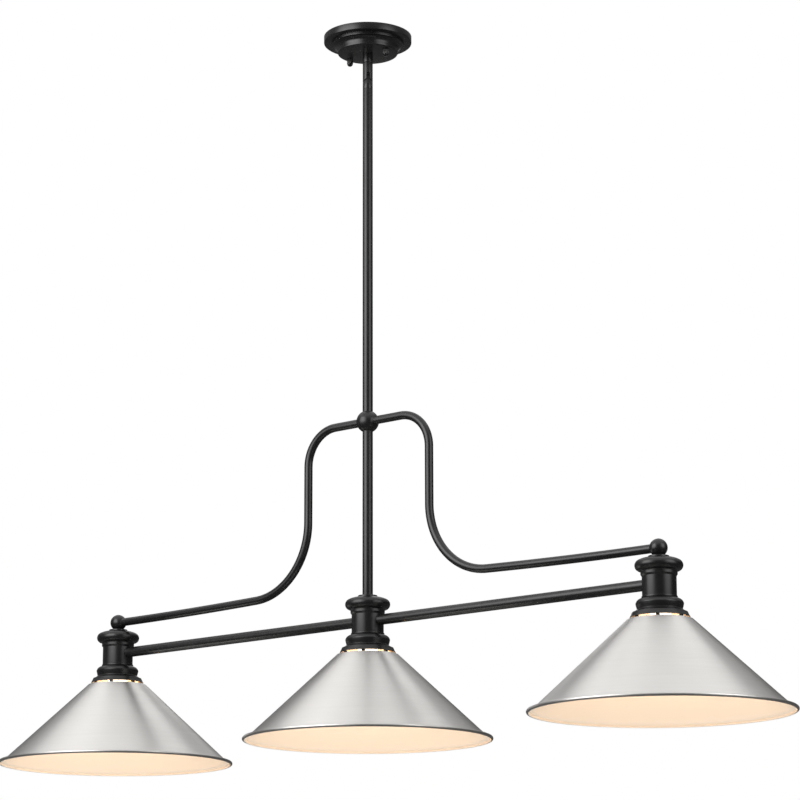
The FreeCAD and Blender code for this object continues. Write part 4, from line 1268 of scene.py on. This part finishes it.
@dataclass
class LampHead:
    """One lamp head: housing, holder, vent collar, shade and lamp.

    Heights are above the shade's rim plane.
    """

    finishes: Finishes
    name: str
    x: float
    wall_r: float = 23.003
    bore_r: float = 21.303
    spigot_r: float = 22.403
    spigot_h: float = 9.0
    tube_hole: float = 5.05
    roof: float = 6.0
    foot: float = 153.2
    cone: float = 179.9
    band: float = 182.4
    flare: float = 186.0
    flange: float = 188.0
    crown: float = 201.3
    top: float = 205.0
    band_r: float = 24.603
    flange_edge_r: float = 28.503
    flange_round: float = 3.8
    washer_r: float = 14.0
    vent_r: float = 35.5
    vent_bore: float = 32.0
    neck_r: float = 31.6
    neck_h: float = 4.1
    seat: float = 130.2
    vent_top: float = 126.6
    vent_low: float = 123.1
    shade_top: float = 122.3
    posts: int = 6
    post_w: float = 5.0
    shade_r: float = 178.0
    shade_top_r: float = 43.8
    sheet: float = 1.0
    bead: float = 2.3
    bead_first: float = 145.7
    bead_last: float = -191.0
    bead_steps: int = 40
    bead_bare: int = 30
    lip_in: float = 9.0
    lip_rise: float = 5.6
    lamp_r: float = 30.0
    lamp_neck: float = 14.0
    lamp_rim: float = 136.6
    lamp_join: float = 40.0
    light_z: float = 76.0
    light_r: float = 19.0
    light_power: float = 0.4
    light_colour: Colour = (1.0, 0.74, 0.5)

    def build(self) -> None:
        """Build and dress the head's visible pieces."""
        black = [self.finishes.black]
        lined = [self.finishes.black, self.finishes.enamel]
        self.own(self.housing(), Slot.BLACK, black, "housing")
        self.own(self.holder(), Slot.BLACK, lined, "holder")
        self.own(self.vent_collar(), Slot.BLACK, lined, "vent_collar")
        self.own(self.shade(), Slot.NICKEL, [self.finishes.nickel, self.finishes.enamel], "shade")
        globe = self.own(self.lamp(), Slot.GLASS, [self.finishes.glass], "lamp_glass")
        globe.visible_shadow = False
        self.light()

    def own(self, shell: Shell, slot: Slot, skins: Sequence[bpy.types.Material],
            piece: str) -> bpy.types.Object:
        """Place a shell on the head's axis and set it on the fixture.

        Args:
            shell: The piece's mesh.
            slot: The record's slot.
            skins: The piece's materials.
            piece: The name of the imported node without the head's name.

        Returns:
            The piece.
        """
        built = shell.build(f"{self.name}_head_{piece}", (self.x, 0.0, RIM_Z))
        return settle(built, Body.FIXTURE, slot, skins, f"{self.name}_{piece}")

    def light(self) -> None:
        """Put the lamp's own light inside its globe."""
        data = bpy.data.lights.new(self.name + "_glow", "POINT")
        data.energy = self.light_power
        data.color = self.light_colour
        data.shadow_soft_size = self.light_r * MM
        lamp = bpy.data.objects.new(self.name + "_glow", data)
        lamp.matrix_world = Matrix.Translation(Vector((self.x, 0.0, RIM_Z + self.light_z)) * MM)
        bpy.context.scene.collection.objects.link(lamp)
        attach(lamp, Body.FIXTURE.value)

    def housing(self) -> Shell:
        """Turn the upright cup with its round flange.

        Returns:
            The mesh.
        """
        outline = Outline(self.tube_hole, self.top).to(self.washer_r, self.top)
        outline.arc(self.flange_edge_r, self.crown, 0.9, 12, 0.5)
        outline.arc(self.flange_edge_r, self.flange, self.flange_round, 22, 0.4)
        outline.to(self.band_r + 1.2, self.flare + 1.2, 0.35).to(self.band_r, self.flare, 0.35)
        outline.to(self.band_r, self.band, 0.5).to(self.wall_r, self.cone, 0.8)
        outline.to(self.wall_r, self.foot, 0.2).to(self.spigot_r, self.foot)
        end = self.foot - self.spigot_h
        outline.to(self.spigot_r, end).to(self.bore_r, end)
        outline.to(self.bore_r, self.top - self.roof).to(self.tube_hole, self.top - self.roof)
        return Shell().lathe(outline, 160)

    def holder(self) -> Shell:
        """Turn the ring and bell under the housing.

        Returns:
            The mesh.
        """
        top_r = self.wall_r + 1.0
        groove = self.foot - 2.5
        ring_r = self.wall_r + 9.0
        ring_z = self.foot - 9.7
        waist_r = self.wall_r + 7.2
        waist_z = ring_z - 7.5
        bell_r = self.vent_r + 2.3
        lip_r = self.vent_r + 4.4
        lip_z = self.vent_top - 1.4
        recess = self.vent_r + 0.1
        inner = self.bore_r + 4.7
        outline = Outline(self.spigot_r + 0.05, self.foot)
        outline.to(top_r, self.foot, 0.4).to(top_r, self.foot - 2.0, 0.25)
        outline.to(top_r - 0.6, groove, 0.15).to(top_r + 0.6, groove - 0.4, 0.2)
        outline.arc(ring_r, ring_z, 1.6, 14, 0.5).to(ring_r - 0.6, ring_z - 3.0, 0.5)
        outline.to(waist_r, waist_z, 0.9)
        outline.arc(bell_r - 1.0, waist_z - 4.0, -0.45, 8, 0.5)
        outline.to(bell_r, self.seat - 0.6, 0.4).to(lip_r - 0.4, lip_z + 1.0, 0.25)
        outline.to(lip_r, lip_z + 0.6, 0.2).to(lip_r, lip_z, 0.2).to(lip_r - 0.8, lip_z, 0.15)
        outline.paint(1)
        outline.to(recess + 0.5, self.vent_top + 0.3).to(recess, self.vent_top + 0.3)
        step = self.foot - self.spigot_h
        shelf = step - 2.0
        outline.to(recess, self.seat).to(inner, self.seat).to(inner, shelf)
        outline.to(self.bore_r, shelf).to(self.bore_r, step)
        outline.paint(0).to(self.spigot_r + 0.05, step)
        return Shell().lathe(outline, 160)

    def vent_collar(self) -> Shell:
        """Make the ring on posts that carries the shade.

        Returns:
            The mesh.
        """
        upper = Outline(self.vent_bore, self.seat, skin=1).paint(0)
        upper.to(self.vent_r, self.seat, 0.2).to(self.vent_r, self.vent_top, 0.2)
        upper.paint(1).to(self.vent_bore, self.vent_top)
        neck_in = self.neck_r - 2.0
        lower = Outline(neck_in, self.vent_low, skin=1)
        lower.to(self.vent_r, self.vent_low, 0.2).paint(0).to(self.vent_r, self.shade_top)
        neck_z = self.shade_top - self.neck_h
        lower.to(self.neck_r, self.shade_top).to(self.neck_r, neck_z, 0.3)
        lower.paint(1).to(neck_in, neck_z, 0.3)
        shell = Shell().lathe(upper, 144).lathe(lower, 144)
        for i in range(self.posts):
            self.post(shell, math.tau * i / self.posts)
        return shell

    def post(self, shell: Shell, angle: float) -> None:
        """Add one post between the collar's rings.

        Args:
            shell: The collar's mesh.
            angle: Where the post stands round the axis.
        """
        spin = Matrix.Rotation(angle, 3, "Z")
        offsets = [self.post_w * (k / 6 - 0.5) for k in range(7)]
        foot = [(math.sqrt(self.vent_r ** 2 - y * y) - 0.05, y) for y in offsets]
        foot += [(math.sqrt(self.vent_bore ** 2 - y * y) + 0.05, y) for y in offsets[::-1]]
        rings = []
        for z in (self.vent_low - 0.3, self.vent_top + 0.3):
            rings.append([spin @ Vector((x, y, z)) for x, y in foot])
        shell.loft(rings)

    def shade(self) -> Shell:
        """Turn the spun cone with its flared lip and rolled bead.

        The lining of enamel runs on round the inner side of the bead.

        Returns:
            The mesh.
        """
        lip_r = self.shade_r - self.lip_in
        slope = math.atan2(self.shade_top - self.lip_rise, lip_r - self.shade_top_r)
        out_r = self.sheet * math.sin(slope)
        out_z = self.sheet * math.cos(slope)
        bead_at = (self.shade_r - self.bead, self.bead)
        bead_step = (self.bead_last - self.bead_first) / self.bead_steps
        bare_last = self.bead_first + bead_step * self.bead_bare
        hole = self.neck_r + 0.1
        outline = Outline(hole, self.shade_top)
        outline.to(self.shade_top_r, self.shade_top, 1.4)
        for i in range(1, 12):
            t = i / 12
            outline.to(self.shade_top_r + (lip_r - self.shade_top_r) * t,
                       self.shade_top + (self.lip_rise - self.shade_top) * t)
        outline.to(lip_r, self.lip_rise, 3.0)
        outline.circle(bead_at, self.bead, self.bead_first, bare_last, self.bead_bare)
        outline.paint(1)
        outline.circle(bead_at, self.bead, bare_last + bead_step, self.bead_last,
                       self.bead_steps - self.bead_bare - 1)
        outline.to(lip_r - out_r, self.lip_rise - out_z, 6.0)
        for i in range(1, 12):
            t = i / 12
            outline.to(lip_r - out_r + (self.shade_top_r - lip_r) * t,
                       self.lip_rise - out_z + (self.shade_top - self.lip_rise) * t)
        outline.to(self.shade_top_r - 0.5, self.shade_top - self.sheet, 1.0)
        outline.to(hole, self.shade_top - self.sheet)
        return Shell().lathe(outline, 224)

    def lamp(self) -> Shell:
        """Turn the lamp's frosted globe with its swept neck.

        Returns:
            The mesh.
        """
        angle = math.radians(self.lamp_join)
        sweep = (self.lamp_r * math.cos(angle) - self.lamp_neck) / (1 - math.cos(angle))
        neck_z = self.lamp_rim - 7.6
        centre = neck_z - (self.lamp_r + sweep) * math.sin(angle)
        join_r = self.lamp_r * math.cos(angle)
        join_z = centre + self.lamp_r * math.sin(angle)
        rim_z = self.lamp_rim - 0.5
        outline = Outline(0.0, rim_z).to(self.lamp_neck - 1.0, rim_z, 0.6)
        outline.to(self.lamp_neck, neck_z)
        outline.arc(join_r, join_z, -sweep * (1 - math.cos(angle / 2)), 16)
        outline.circle((0.0, centre), self.lamp_r, self.lamp_join, -90.0, 44)
        return Shell().lathe(outline, 96)


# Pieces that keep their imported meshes


@dataclass
class InnerPieces:
    """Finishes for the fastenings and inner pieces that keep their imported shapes."""

    finishes: Finishes

    def dress(self) -> None:
        """Give every remaining node its finish."""
        heads = ("left", "centre", "right")
        zinc = ["crossbar", "canopy_studs", "stud_nuts", "canopy_washer", "canopy_tube",
                "bar_studs"]
        zinc += [head + "_head_tube" for head in heads]
        brass = ["canopy_nut", "swivel_bush", "bar_nuts", "head_lock_nuts"]
        brass += [head + piece for head in heads for piece in ("_screw_shell", "_centre_contact")]
        self.wear(self.finishes.zinc, zinc)
        self.wear(self.finishes.green, ["ground_screw"])
        self.wear(self.finishes.brass, brass)
        self.wear(self.finishes.ceramic, [head + "_socket" for head in heads])
        self.wear(self.finishes.aluminium, [head + "_lamp_base" for head in heads])
        self.wear(self.finishes.black, [head + "_ring_nut" for head in heads])

    @staticmethod
    def wear(material: bpy.types.Material, nodes: Sequence[str]) -> None:
        """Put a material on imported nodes.

        Args:
            material: The finish.
            nodes: Names of the nodes that wear it.
        """
        for name in nodes:
            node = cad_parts[name]
            if not node.material_slots:
                node.data.materials.append(material)
            for slot in node.material_slots:
                slot.material = material
            log.info("%s keeps its packed shape in %s", name, material.name)


# Studio


@dataclass(frozen=True)
class SoftBox:
    """A rectangular lamp, and the bright face that gloss shows of it."""

    name: str
    bearing: float
    distance: float
    height: float
    size: tuple[float, float]
    power: float
    face: float

    def place(self, camera_yaw: float, aim: Vector) -> Matrix:
        """Work out where the lamp hangs.

        Args:
            camera_yaw: The camera's heading in degrees; the bearing is counted from it.
            aim: What the lamp faces.

        Returns:
            The lamp's place, with its face along its own -Z.
        """
        angle = math.radians(-90.0 - camera_yaw + self.bearing)
        at = Vector((self.distance * math.cos(angle), self.distance * math.sin(angle),
                     self.height))
        level = Vector((at.x - aim.x, at.y - aim.y, 0.0))
        return Matrix.Translation(at) @ level.to_track_quat("Z", "Y").to_matrix().to_4x4()


@dataclass
class Studio:
    """Floor, background, lamps and camera."""

    camera_at: tuple[float, float, float] = (2.62063, -3.07969, -1.50195)
    camera_yaw: float = -39.73
    camera_pitch: float = 13.13
    camera_roll: float = -0.144
    lens: float = 128.403
    floor_z: float = -2.4
    floor_r: float = 5.0
    floor_lift: float = 0.3
    floor_fade: tuple[float, float] = (0.45, 0.98)
    ambient: float = 0.4
    cloth_r: float = 9.0
    cloth_low: float = -2.5
    cloth_left_top: float = 6.4
    cloth_right_top: float = 9.0
    cloth_left: float = 0.15
    cloth_right: float = 0.05
    cloth_upper: float = 0.4
    cloth_floor: float = 0.1
    under_power: float = 26.0
    under_size: float = 3.0
    aim: tuple[float, float, float] = (0.0, 0.0, -0.6)
    boxes: tuple[SoftBox, ...] = (
        SoftBox("key", -53.0, 1.7, -0.12, (2.5, 2.1), 30.0, 3.8),
        SoftBox("fill", 53.0, 2.2, -0.12, (2.0, 2.1), 22.0, 2.3),
        SoftBox("back", 180.0, 2.4, 0.4, (1.4, 1.6), 6.0, 1.0))

    def build(self) -> None:
        """Set up everything round the object."""
        self.camera()
        self.world()
        self.floor()
        self.dark_cloth()
        for box in self.boxes:
            self.soft_box(box)
        self.under_lamp()
        log.info("studio is ready")

    def camera(self) -> None:
        """Place the camera at the photograph's viewpoint."""
        data = bpy.data.cameras.new("camera")
        data.lens = self.lens
        data.sensor_width = 36.0
        data.clip_start = 0.1
        data.clip_end = 100.0
        camera = bpy.data.objects.new("camera", data)
        turn = (Matrix.Rotation(math.radians(-self.camera_yaw), 4, "Z")
                @ Matrix.Rotation(math.radians(90.0 + self.camera_pitch), 4, "X")
                @ Matrix.Rotation(math.radians(self.camera_roll), 4, "Z"))
        camera.matrix_world = Matrix.Translation(self.camera_at) @ turn
        bpy.context.scene.collection.objects.link(camera)
        bpy.context.scene.camera = camera

    def world(self) -> None:
        """Make a white background that gives the object only plain ambient light."""
        world = bpy.data.worlds.new("studio_white")
        world.use_nodes = True
        graph = Graph(world.node_tree)
        world.node_tree.nodes.clear()
        rays = graph.add("LightPath")
        seen = graph.maths("MAXIMUM", rays.outputs["Is Camera Ray"], rays.outputs["Is Glossy Ray"])
        seen = graph.maths("MAXIMUM", seen, rays.outputs["Is Transmission Ray"])
        mix = graph.add("MixShader")
        graph.feed(mix.inputs[0], seen)
        for socket, strength in zip(mix.inputs[1:], (self.ambient, 1.0)):
            light = graph.add("Background")
            light.inputs["Color"].default_value = WHITE
            light.inputs["Strength"].default_value = strength
            graph.feed(socket, light.outputs[0])
        out = graph.add("OutputWorld")
        graph.feed(out.inputs["Surface"], mix.outputs[0])
        bpy.context.scene.world = world

    def floor(self) -> None:
        """Lay a pale round floor that fades into the background and hides nothing from below."""
        rings = 24
        sides = 64
        shell = Shell()
        shell.vertices = [Vector((0.0, 0.0, 0.0))]
        for r in range(1, rings + 1):
            radius = self.floor_r * r / rings
            for s in range(sides):
                a = math.tau * s / sides
                shell.vertices.append(Vector((radius * math.cos(a), radius * math.sin(a), 0.0)))
        for s in range(sides):
            after = (s + 1) % sides
            shell.faces.append((0, 1 + s, 1 + after))
            for r in range(rings - 1):
                here = 1 + r * sides
                shell.faces.append((here + s, here + sides + s, here + sides + after,
                                    here + after))
        shell.vertices = [v / MM for v in shell.vertices]
        floor = shell.build("floor", (0.0, 0.0, self.floor_z / MM))
        material = bpy.data.materials.new("pale_floor")
        material.use_nodes = True
        graph = Graph(material.node_tree)
        shader = material.node_tree.nodes["Principled BSDF"]
        grain = graph.spread(graph.noise(graph.place(), 3.0, 5.0), 0.3, 0.7, 0.0, 1.0)
        graph.feed(shader.inputs["Base Color"],
                   graph.blend(grain, (0.84, 0.84, 0.83, 1.0), (0.88, 0.88, 0.87, 1.0)))
        graph.feed(shader.inputs["Roughness"], graph.spread(grain, 0.0, 1.0, 0.7, 0.85))
        seen = graph.add("LightPath").outputs["Is Camera Ray"]
        shader.inputs["Emission Color"].default_value = WHITE
        graph.feed(shader.inputs["Emission Strength"],
                   graph.maths("MULTIPLY", seen, self.floor_lift))
        distance = graph.add("VectorMath", operation="LENGTH")
        graph.feed(distance.inputs[0], graph.place())
        near, far = (share * self.floor_r for share in self.floor_fade)
        fade = graph.spread(distance.outputs["Value"], near, far, 0.0, 1.0)
        below = graph.add("NewGeometry").outputs["Backfacing"]
        clear = graph.add("BsdfTransparent")
        mix = graph.add("MixShader")
        graph.feed(mix.inputs[0], graph.maths("MAXIMUM", fade, below))
        graph.feed(mix.inputs[1], shader.outputs[0])
        graph.feed(mix.inputs[2], clear.outputs[0])
        graph.feed(material.node_tree.nodes["Material Output"].inputs["Surface"], mix.outputs[0])
        floor.data.materials.append(material)
        floor.visible_glossy = False

    def dark_cloth(self) -> None:
        """Stand a dark cloth round and under the studio that only shows in reflections."""
        shell = Shell()
        steps = 96
        facing = math.radians(-90.0 - self.camera_yaw)
        levels = (self.cloth_low, 0.0, 1.0)
        for s in range(steps):
            a = math.tau * s / steps
            right = 0.5 + 0.5 * math.sin(a - facing)
            top = self.cloth_left_top + (self.cloth_right_top - self.cloth_left_top) * right
            for level in levels:
                z = level if level < 0 else top * level
                shell.vertices.append(Vector((self.cloth_r * math.cos(a),
                                              self.cloth_r * math.sin(a), z)) / MM)
            here = 3 * s
            there = 3 * ((s + 1) % steps)
            for k in range(2):
                shell.faces.append((here + k, there + k, there + k + 1, here + k + 1))
        shell.faces.append(tuple(3 * s for s in range(steps)))
        cloth = shell.build("dark_cloth")
        graph, glow = self.only_reflected(cloth)
        place = graph.add("SeparateXYZ")
        graph.feed(place.inputs[0], graph.place())
        x, y, z = place.outputs
        across = graph.maths("ADD", graph.maths("MULTIPLY", x, -math.sin(facing)),
                             graph.maths("MULTIPLY", y, math.cos(facing)))
        side = graph.spread(across, -0.6 * self.cloth_r, 0.6 * self.cloth_r, self.cloth_left,
                            self.cloth_right)
        rise = graph.spread(z, 2.0, 5.0, 0.0, 1.0)
        upper = graph.maths("MULTIPLY", graph.maths("SUBTRACT", self.cloth_upper, side), rise)
        grey = graph.maths("ADD", side, upper)
        low = graph.spread(z, self.cloth_low, 0.1, 0.0, 1.0)
        floor = graph.maths("MULTIPLY", graph.maths("SUBTRACT", grey, self.cloth_floor), low)
        graph.feed(glow.inputs["Strength"], graph.maths("ADD", floor, self.cloth_floor))

    @staticmethod
    def only_reflected(thing: bpy.types.Object) -> tuple[Graph, bpy.types.Node]:
        """Let a thing glow, and show it only in reflections.

        Args:
            thing: The backdrop.

        Returns:
            The material's graph, and the node whose strength is the thing's brightness.
        """
        material = bpy.data.materials.new(thing.name)
        material.use_nodes = True
        graph = Graph(material.node_tree)
        glow = graph.add("Emission")
        graph.feed(material.node_tree.nodes["Material Output"].inputs["Surface"], glow.outputs[0])
        thing.data.materials.append(material)
        thing.visible_camera = False
        thing.visible_diffuse = False
        thing.visible_transmission = False
        thing.visible_shadow = False
        thing.visible_volume_scatter = False
        return graph, glow

    def under_lamp(self) -> None:
        """Light what looks down, as the bounce of a bright floor does."""
        data = bpy.data.lights.new("under", "AREA")
        data.size = self.under_size
        data.energy = self.under_power
        lamp = bpy.data.objects.new("under", data)
        lamp.matrix_world = (Matrix.Translation((0.0, 0.0, self.floor_z + 0.1))
                             @ Matrix.Rotation(math.pi, 4, "X"))
        lamp.visible_glossy = False
        lamp.visible_camera = False
        bpy.context.scene.collection.objects.link(lamp)

    def soft_box(self, box: SoftBox) -> None:
        """Hang a rectangular lamp round the object, with its face for reflections.

        Args:
            box: The lamp.
        """
        place = box.place(self.camera_yaw, Vector(self.aim))
        data = bpy.data.lights.new(box.name, "AREA")
        data.shape = "RECTANGLE"
        data.size = box.size[0]
        data.size_y = box.size[1]
        data.energy = box.power
        lamp = bpy.data.objects.new(box.name, data)
        lamp.matrix_world = place
        lamp.visible_glossy = False
        bpy.context.scene.collection.objects.link(lamp)
        half_w = box.size[0] / 2
        half_h = box.size[1] / 2
        shell = Shell()
        shell.vertices = [Vector((u * half_w, v * half_h, 0.0)) / MM
                          for u, v in ((-1, -1), (1, -1), (1, 1), (-1, 1))]
        shell.faces = [(0, 1, 2, 3)]
        face = shell.build(box.name + "_face")
        face.matrix_world = place
        graph, glow = self.only_reflected(face)
        spot = graph.add("SeparateXYZ")
        graph.feed(spot.inputs[0], graph.place())
        wide = graph.spread(graph.maths("ABSOLUTE", spot.outputs[0]), 0.35 * half_w, half_w,
                            box.face, 0.0)
        top = graph.spread(spot.outputs[1], 0.75 * half_h, half_h, 1.0, 0.0)
        foot = graph.spread(spot.outputs[1], -half_h, -0.4 * half_h, 0.0, 1.0)
        tall = graph.maths("MULTIPLY", top, foot)
        graph.feed(glow.inputs["Strength"], graph.maths("MULTIPLY", wide, tall))


def main() -> None:
    """Build the classes in order."""
    logging.basicConfig(level=logging.INFO, format="%(message)s")
    scene = bpy.context.scene
    scene.view_settings.view_transform = "Standard"
    finishes = Finishes()
    Studio().build()
    CeilingSide(finishes).build()
    Knuckle(finishes).build()
    Frame(finishes).build()
    for name, x in (("left", -HEAD_PITCH), ("centre", 0.0), ("right", HEAD_PITCH)):
        LampHead(finishes, name, x).build()
    InnerPieces(finishes).dress()


if __name__ == "__main__":
    main()
